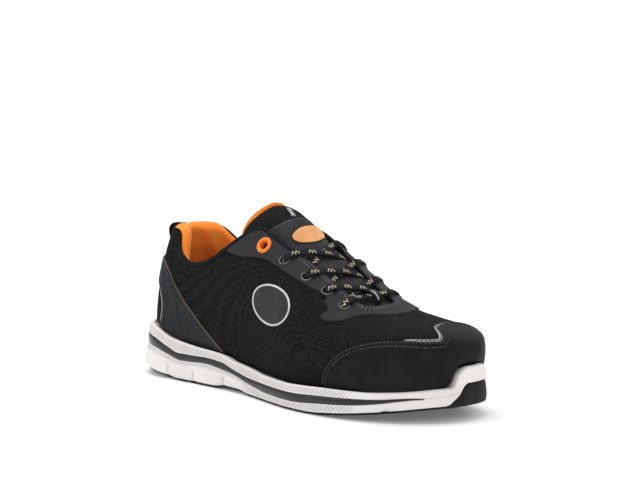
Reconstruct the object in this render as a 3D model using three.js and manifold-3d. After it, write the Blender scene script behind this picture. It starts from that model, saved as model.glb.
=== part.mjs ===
// Low safety trainer for the right foot: cupped sole, hollow textile upper, overlays, tongue and laces.
// Millimetres, +X to the toe, -Y to the outer side of the foot, +Z up, origin under the middle of the sole.
import * as THREE from 'three';
import { mergeVertices } from 'three/addons/utils/BufferGeometryUtils.js';
import Module from 'manifold-3d';

const wasm = await Module();
wasm.setup();

// Sole plan, measured from the back of the heel along X and from the heel's centre line along Y.
const soleLength = 302;
const heelPoleX = 40;
const ballPoleX = 208;
const waistX = 112;
const toePoleY = 7.5;
const soleWidth = { lateral: [38.5, 40, 58.5], medial: [38, 34, 51.5] };
const soleHeelRound = 2.2;
const soleToeRound = 2.25;

// Heights.
const biteHeight = 39;
const formHeight = 137;
const widestHeight = 42;
const toeSpring = 10;
const stripeHeight = 31.5;
const seatHeight = 30;

// Wall, overlay and fitting sizes.
const fitGap = 0.3;
const upperInset = { lateral: [6, 4.5, 4.5], medial: [6, 2.5, 2], heel: 11, toe: 2 };
const upperToeRound = 2.5;
const upperWall = 2;
const overlayThickness = 1.2;
const liningThickness = 3.4;
const plateThickness = 4.9;
const rimDrop = 3.4;
const rimWidth = 1.7;
const stripeDepth = 1.7;
const insoleThickness = 3;
const insoleInset = 10;
const tongueThickness = 4;
const laceWidth = 5.6;
const laceThickness = 1.9;
const eyeletOuter = 4.2;
const eyeletBore = 2.3;
const eyeletFlange = 0.7;
const eyeletRise = 0.35;
const grommetOuter = 5.6;
const grommetBore = 2.6;
const toeCentreY = 10;
const wrapEase = 1.8;
// Facets that stray less than this from their neighbours are joined.
const finish = 0.05;

// Rows of share of the sole length and share of the named height.
const biteRows = [
  [0.026, 1], [0.109, 0.923], [0.159, 0.806], [0.248, 0.713], [0.351, 0.656], [0.401, 0.567], [0.464, 0.523],
  [0.53, 0.472], [0.629, 0.4615], [0.689, 0.477], [0.762, 0.495], [0.848, 0.497], [0.917, 0.526], [1, 0.585],
];
const formRows = [
  [0.0166, 1], [0.132, 1], [0.331, 1.036], [0.4205, 0.971], [0.467, 0.916], [0.533, 0.8066], [0.603, 0.704],
  [0.669, 0.606], [0.722, 0.533], [0.798, 0.471], [0.877, 0.455], [0.96, 0.456], [1.003, 0.444],
];
const widestRows = [
  [0.023, 1], [0.132, 0.905], [0.371, 0.952], [0.53, 0.905], [0.689, 0.81], [0.828, 0.857], [0.993, 1],
];
const groundRows = [
  [0, 0.55], [0.05, 0.42], [0.1, 0.28], [0.15, 0.12], [0.192, 0], [0.325, 0], [0.364, 0.14], [0.417, 0.14],
  [0.464, 0], [0.7, 0], [0.78, 0.18], [0.845, 0.4], [0.91, 0.66], [0.96, 0.86], [1, 1],
];
const stripeTopRows = [
  [0, 1], [0.05, 0.978], [0.099, 0.927], [0.155, 0.768], [0.199, 0.657], [0.248, 0.657], [0.3, 0.667],
  [0.357, 0.629], [0.4, 0.521], [0.47, 0.419], [0.553, 0.397], [0.63, 0.39], [0.745, 0.435], [0.88, 0.483],
  [0.957, 0.545],
];
const stripeLowRows = [
  [0, 0.778], [0.05, 0.746], [0.11, 0.689], [0.16, 0.584], [0.203, 0.498], [0.247, 0.511], [0.298, 0.533],
  [0.348, 0.486], [0.4, 0.416], [0.47, 0.289], [0.553, 0.219], [0.64, 0.21], [0.745, 0.276], [0.824, 0.33],
  [0.88, 0.4], [0.915, 0.46], [0.957, 0.508],
];
const seatRows = [
  [0.03, 1], [0.13, 0.917], [0.25, 0.8], [0.37, 0.667], [0.5, 0.55], [0.69, 0.5], [0.85, 0.567], [1, 0.66],
];
// Roundness of the upper's section, and how far its foot tucks in as a share of its half width.
const roundRows = [
  [0.023, 1.65], [0.132, 1.68], [0.265, 2], [0.43, 2.3], [0.53, 2.3], [0.689, 2.25], [0.828, 2.75], [0.944, 3.25],
  [0.993, 3.4],
];
const tuckRows = [[0.023, 0.03], [0.132, 0.03], [0.371, 0.06], [0.689, 0.06], [0.993, 0.03]];
// Rows of distance from the toe's middle, and height of the white wrap and of the black bumper there.
const wrapRows = [[8, 35.6], [12.5, 34], [16.5, 30.4], [19.2, 24.8], [21.5, 21.6], [23, 15]];
const bumperRows = [[9, 24.9], [11, 24], [12.5, 22.9], [14.8, 19.6], [16.5, 17.5], [20, 14.6], [24, 12.1]];

const clamp = (v, lo, hi) => Math.min(hi, Math.max(lo, v));
const mix = (a, b, t) => a + (b - a) * t;
const smooth = (t) => t * t * (3 - 2 * t);
const step = (a, b, v) => smooth(clamp((v - a) / (b - a), 0, 1));
const power = (v, p) => Math.sign(v) * Math.abs(v) ** p;

// Reads a table of [position, value] rows along a smooth curve with no overshoot.
function read(rows, at) {
  const last = rows.length - 1;
  const x = clamp(at, rows[0][0], rows[last][0]);
  let i = 0;
  while (i < last - 1 && x > rows[i + 1][0]) i += 1;
  const run = (k) => rows[k + 1][0] - rows[k][0];
  const rise = (k) => (rows[k + 1][1] - rows[k][1]) / run(k);
  const slope = (k) => {
    if (k === 0 || k === last || rise(k - 1) * rise(k) <= 0) return 0;
    const a = run(k - 1);
    const b = run(k);
    return (3 * (a + b)) / ((2 * b + a) / rise(k - 1) + (b + 2 * a) / rise(k));
  };
  const t = (x - rows[i][0]) / run(i);
  const h = run(i);
  return (
    (2 * t ** 3 - 3 * t ** 2 + 1) * rows[i][1] + (t ** 3 - 2 * t ** 2 + t) * h * slope(i)
    + (3 * t ** 2 - 2 * t ** 3) * rows[i + 1][1] + (t ** 3 - t ** 2) * h * slope(i + 1)
  );
}
const along = (rows, size) => (x) => size * read(rows, x / soleLength);
const biteLine = along(biteRows, biteHeight);
const formTop = along(formRows, formHeight);
const widest = along(widestRows, widestHeight);
const ground = along(groundRows, toeSpring);
const stripeTop = along(stripeTopRows, stripeHeight);
const stripeLow = along(stripeLowRows, stripeHeight);
const seat = along(seatRows, seatHeight);
const roundness = along(roundRows, 1);
const tuck = along(tuckRows, 1);

// A station runs 0 at the back of the heel, 1 at the heel's side, 2 at the ball and 3 at the tip of the toe.
// plan gives its spine point and the arm from there to the rim.
function plan(s, side, widths, back, tip, toeRound) {
  const sign = side === 'lateral' ? -1 : 1;
  if (s < 1) {
    const a = (Math.PI / 2) * (1 - s);
    return {
      x: heelPoleX,
      y: 0,
      ex: -(heelPoleX - back) * power(Math.sin(a), 2 / soleHeelRound),
      ey: sign * widths[0] * power(Math.cos(a), 2 / soleHeelRound),
    };
  }
  if (s > 2) {
    const a = (Math.PI / 2) * (s - 2);
    return {
      x: ballPoleX,
      y: toePoleY,
      ex: (tip - ballPoleX) * power(Math.sin(a), 2 / toeRound),
      ey: sign * (widths[2] - sign * toePoleY) * power(Math.max(0, Math.cos(a)), 2 / toeRound),
    };
  }
  const x = mix(heelPoleX, ballPoleX, s - 1);
  const y = toePoleY * smooth(s - 1);
  const half = read([[heelPoleX, widths[0]], [waistX, widths[1]], [ballPoleX, widths[2]]], x);
  return { x, y, ex: 0, ey: sign * half - y };
}
function solePoint(s, side, inset, share = 1) {
  const p = plan(s, side, soleWidth[side].map((w) => w - inset), inset, soleLength - inset, soleToeRound);
  return [p.x + p.ex * share, p.y + p.ey * share];
}
// The stations crowd where the bumper and the white wrap climb over the toe.
function stations(side) {
  const list = [];
  for (let i = 0; i <= 7; i += 1) list.push(i / 7);
  for (let i = 1; i <= 12; i += 1) list.push(1 + i / 12);
  const reach = side === 'lateral' ? soleWidth.lateral[2] + toePoleY : soleWidth.medial[2] - toePoleY;
  const shift = side === 'lateral' ? toePoleY - toeCentreY : toeCentreY - toePoleY;
  const turns = side === 'lateral' ? [12, 24, 36, 47, 57] : [12, 24, 36];
  for (const turn of turns) list.push(2 + turn / 90);
  for (const d of [27, 24.5, 22.3, 20, 16.5, 12.5, 8]) {
    list.push(2 + Math.acos(((d + shift) / reach) ** (soleToeRound / 2)) / (Math.PI / 2));
  }
  list.push(3);
  return list;
}
const stationsOf = { lateral: stations('lateral'), medial: stations('medial') };
const stripeEnd = 2 + 57 / 90;
const sides = ['lateral', 'medial'];

// Closes rows of points, one set for each side, into one mesh with shared corners.
function skin(patches) {
  const keys = new Map();
  const points = [];
  const faces = [];
  const add = (p) => {
    const key = p.map((v) => Math.round(v * 2000)).join();
    if (!keys.has(key)) {
      keys.set(key, points.length);
      points.push(p);
    }
    return keys.get(key);
  };
  const face = (a, b, c) => {
    if (a !== b && b !== c && c !== a) faces.push([a, b, c]);
  };
  for (const { rows, flip } of patches) {
    const ids = rows.map((row) => row.map(add));
    for (let i = 0; i + 1 < ids.length; i += 1) {
      for (let j = 0; j + 1 < ids[i].length; j += 1) {
        const a = ids[i][j];
        const b = ids[i + 1][j];
        const c = ids[i + 1][j + 1];
        const d = ids[i][j + 1];
        if (flip) {
          face(a, c, b);
          face(a, d, c);
        } else {
          face(a, b, c);
          face(a, c, d);
        }
      }
    }
  }
  const at = (i) => new THREE.Vector3(...points[i]);
  const volume = faces.reduce((sum, [a, b, c]) => sum + at(a).dot(at(b).cross(at(c))), 0);
  const order = volume < 0 ? faces.map(([a, b, c]) => [a, c, b]) : faces;
  const geometry = new THREE.BufferGeometry();
  geometry.setAttribute('position', new THREE.Float32BufferAttribute(points.flat(), 3));
  geometry.setIndex(order.flat());
  return geometry;
}
function toSolid(geometry) {
  const bare = geometry.clone();
  for (const name of Object.keys(bare.attributes)) if (name !== 'position') bare.deleteAttribute(name);
  const merged = mergeVertices(bare, 1e-4);
  const mesh = new wasm.Mesh({
    numProp: 3,
    vertProperties: Float32Array.from(merged.attributes.position.array),
    triVerts: Uint32Array.from(merged.index.array),
  });
  return new wasm.Manifold(mesh);
}
function toGeometry(solid) {
  const mesh = solid.simplify(finish).getMesh();
  const geometry = new THREE.BufferGeometry();
  geometry.setAttribute('position', new THREE.BufferAttribute(Float32Array.from(mesh.vertProperties), 3));
  geometry.setIndex(new THREE.BufferAttribute(Uint32Array.from(mesh.triVerts), 1));
  return geometry;
}
// A straight-sided block over an outline: seen from above between two heights, or from the side between two widths.
function block(outline, from, to, seenFrom) {
  const shape = new THREE.Shape(outline.map(([a, b]) => new THREE.Vector2(a, b)));
  const geometry = new THREE.ExtrudeGeometry(shape, { depth: to - from, bevelEnabled: false });
  if (seenFrom === 'side') {
    geometry.rotateX(Math.PI / 2);
    geometry.translate(0, to, 0);
  } else {
    geometry.translate(0, 0, from);
  }
  return toSolid(geometry);
}

// Sole.
const distanceFromToe = (s, side) => Math.abs(solePoint(s, side, 0)[1] - toeCentreY);
// Towards the toe the hanging rim lifts first, then draws in, and then the bumper rises outside it.
const near = (from, to) => (s, side) => (s > 2 ? 1 - step(from, to, distanceFromToe(s, side)) : 0);
const rimLift = near(24.6, 26.9);
const rimDraw = near(22.4, 24.4);
const bumperShare = near(20.1, 22.2);
const bumperTop = (s, side) => read(bumperRows, distanceFromToe(s, side));
function biteAt(s, side) {
  const low = biteLine(solePoint(s, side, 0)[0]);
  return s > 2 ? Math.max(low, read(wrapRows, distanceFromToe(s, side))) : low;
}
function soleSkin(profile) {
  return skin(sides.map((side) => ({
    flip: side === 'medial',
    rows: stationsOf[side].map((s) => profile(s, side).map(([inset, share, height]) => {
      const [x, y] = solePoint(s, side, inset, share);
      return [x, y, typeof height === 'function' ? height(x) : height];
    })),
  })));
}
function outsoleProfile(s, side) {
  const k = bumperShare(s, side);
  const base = ground(solePoint(s, side, 2)[0]);
  const shoulder = base + plateThickness - 0.6;
  const top = mix(shoulder, Math.max(shoulder, bumperTop(s, side)), k);
  const plateTop = (x) => ground(x) + plateThickness;
  return [
    [2, 0, ground],
    [2, 0.55, ground],
    [mix(2, 0.2, k), 1, base],
    [mix(2, 0.2, k), 1, top],
    [mix(2.8, 3, k), 1, top],
    [3.4, 1, plateTop],
    [3.4, 0.55, plateTop],
    [3.4, 0, plateTop],
  ];
}
function midsoleProfile(s, side) {
  const k = rimDraw(s, side);
  const [rimX] = solePoint(s, side, 0);
  const base = ground(solePoint(s, side, 2)[0]);
  const ceiling = (x) => ground(x) + plateThickness + fitGap;
  const hung = base + plateThickness + fitGap - rimDrop;
  const raised = base + plateThickness;
  const overBumper = Math.max(raised, bumperTop(s, side) + fitGap);
  const foot = mix(mix(hung, raised, rimLift(s, side)), overBumper, bumperShare(s, side));
  const bite = biteAt(s, side);
  const open = s < stripeEnd + 0.01 ? 1 : 0;
  const low = open ? stripeLow(rimX) - fitGap : mix(foot, bite, 0.45);
  const high = open ? stripeTop(rimX) + fitGap : mix(foot, bite, 0.6);
  const groove = open * (stripeDepth + 2 * fitGap);
  return [
    [3.4, 0, ceiling],
    [3.4, 0.55, ceiling],
    [mix(rimWidth, 3.7, k), 1, ceiling],
    [mix(rimWidth, 3.3, k), 1, foot],
    [0.2, 1, foot],
    [0, 1, mix(foot, low, 0.3)],
    [0, 1, low],
    [groove, 1, low],
    [groove, 1, high],
    [0, 1, high],
    [0.4, 1, mix(high, bite, 0.55)],
    [2.3, 1, bite],
    [8.8, 1, bite],
    [9.6, 1, seat],
    [9.6, 0.55, seat],
    [9.6, 0, seat],
  ];
}
function stripeGeometry() {
  const rowsOf = (side) => stationsOf[side].filter((s) => s <= stripeEnd + 0.001).map((s) => {
    const [x] = solePoint(s, side, 0);
    const ring = [[0.3, stripeLow(x)], [0.3, stripeTop(x)], [stripeDepth + fitGap, stripeTop(x)]];
    ring.push([stripeDepth + fitGap, stripeLow(x)], ring[0]);
    return ring.map(([inset, z]) => [...solePoint(s, side, inset), z]);
  });
  return skin(sides.flatMap((side) => {
    const rows = rowsOf(side);
    const end = rows[rows.length - 1];
    const cap = [[end[0], end[3]], [end[1], end[2]]];
    return [{ rows, flip: side === 'medial' }, { rows: cap, flip: side === 'lateral' }];
  }));
}
// Short boxes across the rim, turned to face it, for the notches in the heel's side.
function notch(s, side, width, depth, low, high) {
  const [x, y] = solePoint(s, side, 0);
  const [x0, y0] = solePoint(s - 0.01, side, 0);
  const [x1, y1] = solePoint(s + 0.01, side, 0);
  const box = new THREE.BoxGeometry(width, 2 * depth, high - low);
  box.rotateZ(Math.atan2(y1 - y0, x1 - x0));
  box.translate(x, y, (low + high) / 2);
  return toSolid(box);
}
function makeMidsole() {
  let solid = toSolid(soleSkin(midsoleProfile));
  for (const side of sides) {
    for (const s of [0.68, 1.045, 1.215, 1.415]) {
      const [x] = solePoint(s, side, 0);
      solid = solid.subtract(notch(s, side, 2.2, 1.3, -1, stripeLow(x) - 3));
    }
  }
  return toGeometry(solid);
}
// Tread: a crescent of cross grooves over the forefoot and heel, a long groove between, and none at the waist.
function makeOutsole() {
  let solid = toSolid(soleSkin(outsoleProfile));
  const treadDepth = 2.8;
  const channel = (x, width, bend) => {
    const outline = [[x - bend, -75], [x, 4], [x - bend, 75], [x - bend + width, 75], [x + width, 4], [x - bend + width, -75]];
    return block(outline, -3, ground(x + width / 2) + treadDepth, 'above');
  };
  for (const x of [28, 46, 64, 82]) solid = solid.subtract(channel(x, 3.2, -7));
  for (const x of [147, 165, 183, 201, 219, 237, 255, 272]) solid = solid.subtract(channel(x, 3.4, 9));
  const middle = (x0, x1, y0, y1, width) => {
    const outline = [[x0, y0 - width / 2], [x1, y1 - width / 2], [x1, y1 + width / 2], [x0, y0 + width / 2]];
    return block(outline, -3, treadDepth, 'above');
  };
  solid = solid.subtract(middle(30, 85.5, -9, -9, 3)).subtract(middle(30, 85.5, 9, 9, 3));
  solid = solid.subtract(middle(150, 221, -18, -16, 3)).subtract(middle(150, 221, 18, 24, 3));
  return toGeometry(solid);
}
function insoleProfile() {
  const under = (x) => seat(x) + fitGap;
  const over = (x) => seat(x) + fitGap + insoleThickness;
  return [
    [insoleInset, 0, under],
    [insoleInset, 0.55, under],
    [insoleInset, 1, under],
    [insoleInset, 1, over],
    [insoleInset, 0.55, over],
    [insoleInset, 0, over],
  ];
}

// Upper form: the closed last shape grown or shrunk by an amount. Level 0 is the bite line, 1 the widest line,
// 2 the crest of the form over the spine.
const upperWidth = {};
for (const side of sides) upperWidth[side] = soleWidth[side].map((w, i) => w - upperInset[side][i]);
function upperPlan(s, side, grow) {
  const widths = upperWidth[side].map((w) => w + grow);
  return plan(s, side, widths, upperInset.heel - grow, soleLength - upperInset.toe + grow, upperToeRound);
}
function formPoint(s, side, level, grow) {
  const p = upperPlan(s, side, grow);
  const rimX = p.x + p.ex;
  const wide = widest(rimX);
  if (level <= 1) {
    const foot = biteAt(s, side) + fitGap + wrapEase * near(20, 24)(s, side);
    const share = 1 - tuck(rimX) * (1 - level) ** 2;
    return [p.x + p.ex * share, p.y + p.ey * share, mix(foot, wide, level)];
  }
  const turn = ((level - 1) * Math.PI) / 2;
  const round = roundness(rimX);
  const share = level > 1.999 ? 0 : power(Math.cos(turn), 2 / round);
  const x = p.x + p.ex * share;
  const crest = formTop(x) + grow;
  return [x, p.y + p.ey * share, wide + (crest - wide) * power(Math.sin(turn), 2 / round)];
}
// Height of the grown form over a plan point that lies on its upper half.
function stationAt(x, y, side, grow) {
  if (x <= ballPoleX) return 1 + (x - heelPoleX) / (ballPoleX - heelPoleX);
  let lo = 2;
  let hi = 3;
  const wanted = Math.atan2(Math.abs(y - toePoleY), x - ballPoleX);
  for (let i = 0; i < 40; i += 1) {
    const mid = (lo + hi) / 2;
    const p = upperPlan(mid, side, grow);
    if (Math.atan2(Math.abs(p.ey), p.ex) > wanted) lo = mid;
    else hi = mid;
  }
  return lo;
}
function formHeightAt(x, y, grow) {
  const spineY = toePoleY * smooth(clamp((x - heelPoleX) / (ballPoleX - heelPoleX), 0, 1));
  const side = y < spineY ? 'lateral' : 'medial';
  const p = upperPlan(stationAt(x, y, side, grow), side, grow);
  const reach = Math.hypot(x - p.x, y - p.y) / Math.hypot(p.ex, p.ey);
  const rimX = p.x + p.ex;
  const round = roundness(rimX);
  const wide = widest(rimX);
  const lift = Math.max(0, 1 - Math.min(1, reach) ** round) ** (1 / round);
  return wide + (formTop(x) + grow - wide) * lift;
}
const levels = [0, 0.5, 1, 1.16, 1.33, 1.5, 1.67, 1.83, 2];
function formShell(outer, inner) {
  return toSolid(skin(sides.flatMap((side) => {
    const flip = side === 'medial';
    const rows = (pick) => stationsOf[side].map(pick);
    return [
      { flip, rows: rows((s) => levels.map((level) => formPoint(s, side, level, outer))) },
      { flip: !flip, rows: rows((s) => levels.map((level) => formPoint(s, side, level, inner))) },
      { flip: !flip, rows: rows((s) => [outer, inner].map((grow) => formPoint(s, side, 0, grow))) },
    ];
  })));
}

// Top line of the collar seen from the side, outer and inner, and the throat seen from above.
const collarLateral = [
  [-20, 110.5], [39.5, 110.5], [42.5, 107], [45, 101], [49, 91.5], [55, 86.9], [65, 85.3], [75, 86.6], [88, 91.3],
  [98, 96.7], [108, 103], [117, 109], [123, 113], [127, 114.9], [131, 115.9], [134, 117], [137, 122], [140, 160],
];
const collarMedial = [
  [-20, 110.5], [39.5, 111.5], [45, 111], [51, 107.6], [57, 102], [63, 96.6], [71, 92.4], [81, 91.4], [92, 94.4],
  [101, 99], [110, 105], [120, 111.8], [127, 116.2], [133, 119.3], [138, 120.5], [142, 122], [145, 160],
];
const throat = [
  [100, -21], [127, -21.6], [142, -22.4], [152, -22.3], [160, -21.4], [173, -18.6], [182, -17.6], [198, -16],
  [208, -15], [214, -14.6], [221, -15.4], [225.3, -14.4], [227.2, -10.6], [227.4, 0], [227.2, 10.6], [225, 14.4],
  [220, 15.4], [212, 14.8], [200, 15.2], [185, 16.2], [173, 17.8], [160, 20.4], [150, 22.4], [139, 23.6],
  [127, 24], [100, 24],
];
const over = (line) => [...line, [line[line.length - 1][0], 190], [-20, 190]];
const collarCut = block(over(collarLateral), -90, 0, 'side').add(block(over(collarMedial), 0, 90, 'side'));
const throatCut = block(throat, 52, 200, 'above');
const openings = collarCut.add(throatCut);

// Eyelet stations down the throat, near the fold of each flap, from the top.
const eyeletRows = {
  lateral: [[162.1, -28.2], [183.4, -28.1], [200.6, -26.2], [217.2, -26.4]],
  medial: [[163.5, 28.4], [184.6, 26], [201.8, 24.8], [218.2, 24.8]],
};
const grommetAt = { lateral: [141.4, -27.4], medial: [144.5, 29.4] };
function normalAt(x, y) {
  const h = (dx, dy) => formHeightAt(x + dx, y + dy, 0);
  return new THREE.Vector3(h(-1, 0) - h(1, 0), h(0, -1) - h(0, 1), 2).normalize();
}
function stand(geometry, x, y, lift) {
  const normal = normalAt(x, y);
  const foot = new THREE.Vector3(x, y, formHeightAt(x, y, 0)).addScaledVector(normal, lift);
  geometry.applyQuaternion(new THREE.Quaternion().setFromUnitVectors(new THREE.Vector3(0, 0, 1), normal));
  geometry.translate(foot.x, foot.y, foot.z);
  return geometry;
}
function rivetRing(outer, bore, x, y) {
  const low = overlayThickness + 2 * fitGap + eyeletRise;
  const profile = [
    [bore, -3.4], [bore + 0.6, -3.4], [bore + 0.6, low], [outer, low], [outer - 0.3, low + eyeletFlange],
    [bore, low + eyeletFlange], [bore, -3.4],
  ];
  const ring = new THREE.LatheGeometry(profile.map(([r, z]) => new THREE.Vector2(r, z)), 12);
  ring.rotateX(Math.PI / 2);
  return stand(ring, x, y, 0);
}
function punch(bore, x, y) {
  const pin = new THREE.CylinderGeometry(bore + 1.1, bore + 1.1, 16, 10);
  pin.rotateX(Math.PI / 2);
  return toSolid(stand(pin, x, y, 0));
}
const holes = [];
for (const side of sides) {
  for (const [x, y] of eyeletRows[side]) holes.push(punch(eyeletBore, x, y));
  holes.push(punch(grommetBore, ...grommetAt[side]));
}
const punches = holes.reduce((all, hole) => all.add(hole));

function makeUpper() {
  return toGeometry(formShell(0, -upperWall).subtract(openings).subtract(punches));
}
const overlayShell = formShell(fitGap + overlayThickness, fitGap);
const toeCapSide = [
  [214, 5], [218.5, 12], [220.3, 19], [222.4, 26], [228, 35.3], [236, 43], [245, 48], [255, 51], [266, 52.7], [280, 53.6],
  [288, 52.8], [330, 52.8], [330, 5],
];
const toeCapTop = [
  [276.6, 8], [277.3, 2], [279.8, -4.6], [286, -8.4], [291.4, -11.6], [293.2, -15], [292.8, -19], [330, -19],
  [330, 39], [292.8, 39], [293.2, 34], [291.4, 30.4], [286, 27], [279.8, 21.6], [277.3, 14],
];
function makeToeCap() {
  const region = block(toeCapSide, -90, 90, 'side').add(block(toeCapTop, 40, 90, 'above'));
  return toGeometry(overlayShell.intersect(region));
}
const counterOutline = [
  [-12, 92], [16, 90], [26, 88], [33, 85], [40, 78.5], [46.6, 70.4], [57, 61], [69.4, 51.8], [80, 44], [89.7, 37],
  [98, 31], [108, 22], [112, 5], [-12, 5],
];
const eyestaySide = [
  [96, 101], [101, 99.8], [110, 97.2], [121, 96.2], [135, 97.4], [148, 96.6], [155.3, 93.6], [173.3, 87.2], [183.3, 83.2],
  [198, 77.6], [205, 74], [209, 71], [209, 150], [96, 150],
];
const eyestayFront = [
  [204, -33], [205, -32.6], [209.6, -33.7], [211, -36.8], [208.4, -41], [211.7, -42.4], [220.7, -40.5],
  [226.7, -35.8], [230, -27], [234.4, -19], [241.5, -8], [243.6, 2], [242.6, 12.6], [239.5, 20], [234, 29],
  [229, 37], [222, 43], [213, 45.4], [209.4, 44], [211.6, 40], [210.4, 36.6], [205, 35], [204, 35],
];
function makeEyestay() {
  const region = block(eyestaySide, -90, 90, 'side').add(block(eyestayFront, 50, 150, 'above'));
  return toGeometry(overlayShell.intersect(region).subtract(openings).subtract(punches));
}
const liningOutline = [[-12, 47], [86, 47], [112, 60], [112, 150], [-12, 150]];
function makeCollarLining() {
  const start = upperWall + fitGap;
  const shell = formShell(-start, -start - liningThickness);
  return toGeometry(shell.intersect(block(liningOutline, -90, 90, 'side')).subtract(openings));
}

// Tongue and its lining: sheets that follow the form under the flaps and arch over the instep above the collar.
const tongueTop = upperWall + 0.9;
const tongueMiddleY = 0.5;
const tongueSweep = 11;
const archWidth = 24;
const tongueWidthRows = [
  [122, 19.5], [124, 21.5], [128, 22.3], [134, 22.3], [141, 22], [152, 22], [175, 20], [200, 19], [236, 17],
];
const tongueCrestRows = [[105, 135], [119, 134.4], [127, 133.6], [135, 131.2], [145, 126]];
function tongueHeight(x, y, sink) {
  const across = (y - tongueMiddleY) / archWidth;
  const arch = 9 * across ** 2 + 8 * across ** 4 + 22 * across ** 6;
  return mix(read(tongueCrestRows, x) - arch - sink + tongueTop, formHeightAt(x, y, -sink), step(138, 160, x));
}
// The top edge sweeps back towards the ankle at both corners.
function sheet(xs, widthAt, high, low) {
  const steps = [-1, -0.86, -0.68, -0.42, -0.14, 0.14, 0.42, 0.68, 0.86, 1];
  const rows = (sink) => xs.map((middleX) => steps.map((t) => {
    const x = middleX - tongueSweep * t * t * (1 - step(122, 160, middleX));
    const y = tongueMiddleY + t * widthAt(middleX);
    return [x, y, tongueHeight(x, y, sink)];
  }));
  const upper = rows(high);
  const lower = rows(low);
  const edge = (pick) => ({ rows: [pick(upper), pick(lower)] });
  return skin([
    { rows: upper, flip: false },
    { rows: lower, flip: true },
    { ...edge((g) => g[0]), flip: true },
    { ...edge((g) => g[g.length - 1]), flip: false },
    { ...edge((g) => g.map((row) => row[0])), flip: false },
    { ...edge((g) => g.map((row) => row[row.length - 1])), flip: true },
  ]);
}
function makeTongue() {
  const xs = [122, 124, 128, 134, 141, 150, 160, 170, 180, 190, 200, 210, 218, 226, 236];
  return sheet(xs, (x) => read(tongueWidthRows, x), tongueTop, tongueTop + tongueThickness);
}
function makeTongueLining() {
  const start = tongueTop + tongueThickness + 5 * fitGap;
  return sheet([123, 125, 129, 134, 141, 150], (x) => read(tongueWidthRows, x) - 4, start, start + 2);
}

// Flat-oval cord along points that rest on the form.
function cord(points, width, thickness) {
  const section = new THREE.Shape();
  const corners = [[1, 0.3], [0.7, 1], [-0.7, 1], [-1, 0.3], [-1, -0.3], [-0.7, -1], [0.7, -1], [1, -0.3]];
  section.setFromPoints(corners.map(([a, b]) => new THREE.Vector2((a * width) / 2, (b * thickness) / 2)));
  const ring = section.getPoints();
  const rows = points.map((p, i) => {
    const ahead = points[Math.min(i + 1, points.length - 1)];
    const behind = points[Math.max(i - 1, 0)];
    const run = new THREE.Vector3().subVectors(ahead.at, behind.at).normalize();
    const across = new THREE.Vector3().crossVectors(run, p.up).normalize();
    const up = new THREE.Vector3().crossVectors(across, run);
    const loop = ring.map((c) => p.at.clone().addScaledVector(across, c.x).addScaledVector(up, c.y).toArray());
    return [...loop, loop[0]];
  });
  const fan = (row, at) => row.map(() => at.toArray());
  const first = { rows: [fan(rows[0], points[0].at), rows[0]], flip: false };
  const last = { rows: [rows[rows.length - 1], fan(rows[0], points[points.length - 1].at)], flip: false };
  return skin([first, { rows, flip: false }, last]);
}
function lacePoint(x, y, lift) {
  const up = normalAt(x, y);
  return { at: new THREE.Vector3(x, y, formHeightAt(x, y, 0)).addScaledVector(up, lift), up };
}
const laceRide = overlayThickness + 3 * fitGap + eyeletRise + eyeletFlange + laceThickness / 2;
const laceEnd = laceRide + 0.6;
// Each leg starts under one flap, below its own eyelet, and climbs over the other flap to the eyelet above.
function laceLeg(from, to) {
  const [x0, y0] = from;
  const [x1, y1] = to;
  const startX = x0 - 4.5;
  const startY = y0 < 0 ? -13 : 12.5;
  const points = [];
  const lifts = [[0, -0.9], [0.25, 0], [0.5, 0.8], [0.7, laceRide - 1], [0.85, laceEnd], [1, laceEnd]];
  for (const [t, lift] of lifts) points.push(lacePoint(mix(startX, x1, t), mix(startY, y1, t), lift));
  return cord(points, laceWidth, laceThickness);
}
function makeCross(k) {
  const up = laceLeg(eyeletRows.lateral[k], eyeletRows.medial[k - 1]);
  const down = laceLeg(eyeletRows.medial[k], eyeletRows.lateral[k - 1]);
  return toGeometry(toSolid(up).add(toSolid(down)));
}
function makeBar() {
  const [x0, y0] = eyeletRows.lateral[3];
  const [x1, y1] = eyeletRows.medial[3];
  const lifts = [[0, laceEnd], [0.15, laceEnd], [0.32, 3], [0.5, 2.2], [0.68, 3], [0.85, laceEnd], [1, laceEnd]];
  return cord(lifts.map(([t, lift]) => lacePoint(mix(x0, x1, t), mix(y0, y1, t), lift)), laceWidth, laceThickness);
}
// Loop on the tongue that keeps the lowest lace in place.
function makeKeeper() {
  const stops = [[213.6, -1.1], [213.9, 2.2], [214.5, 4.8], [217.5, 5.6], [221.5, 4.6], [223.6, 1.6], [224.2, -1.1]];
  return cord(stops.map(([x, lift]) => lacePoint(x, tongueMiddleY, lift)), 4, 1.2);
}
// Webbing loop straddling the collar at the back of the heel.
function makePullLoop() {
  const half = 7;
  const path = [[17.4, 95.5], [17, 101], [16.8, 107], [17.4, 111.4], [19.4, 113.6], [22, 114], [24.5, 113.6]];
  const thick = 1.3;
  const offset = path.map(([x, z], i) => {
    const [ax, az] = path[Math.max(i - 1, 0)];
    const [bx, bz] = path[Math.min(i + 1, path.length - 1)];
    const run = Math.hypot(bx - ax, bz - az);
    return [x + ((bz - az) / run) * thick, z - ((bx - ax) / run) * thick];
  });
  const outline = [...path, ...offset.reverse()];
  return toGeometry(block(outline, -half, half, 'side'));
}

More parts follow.
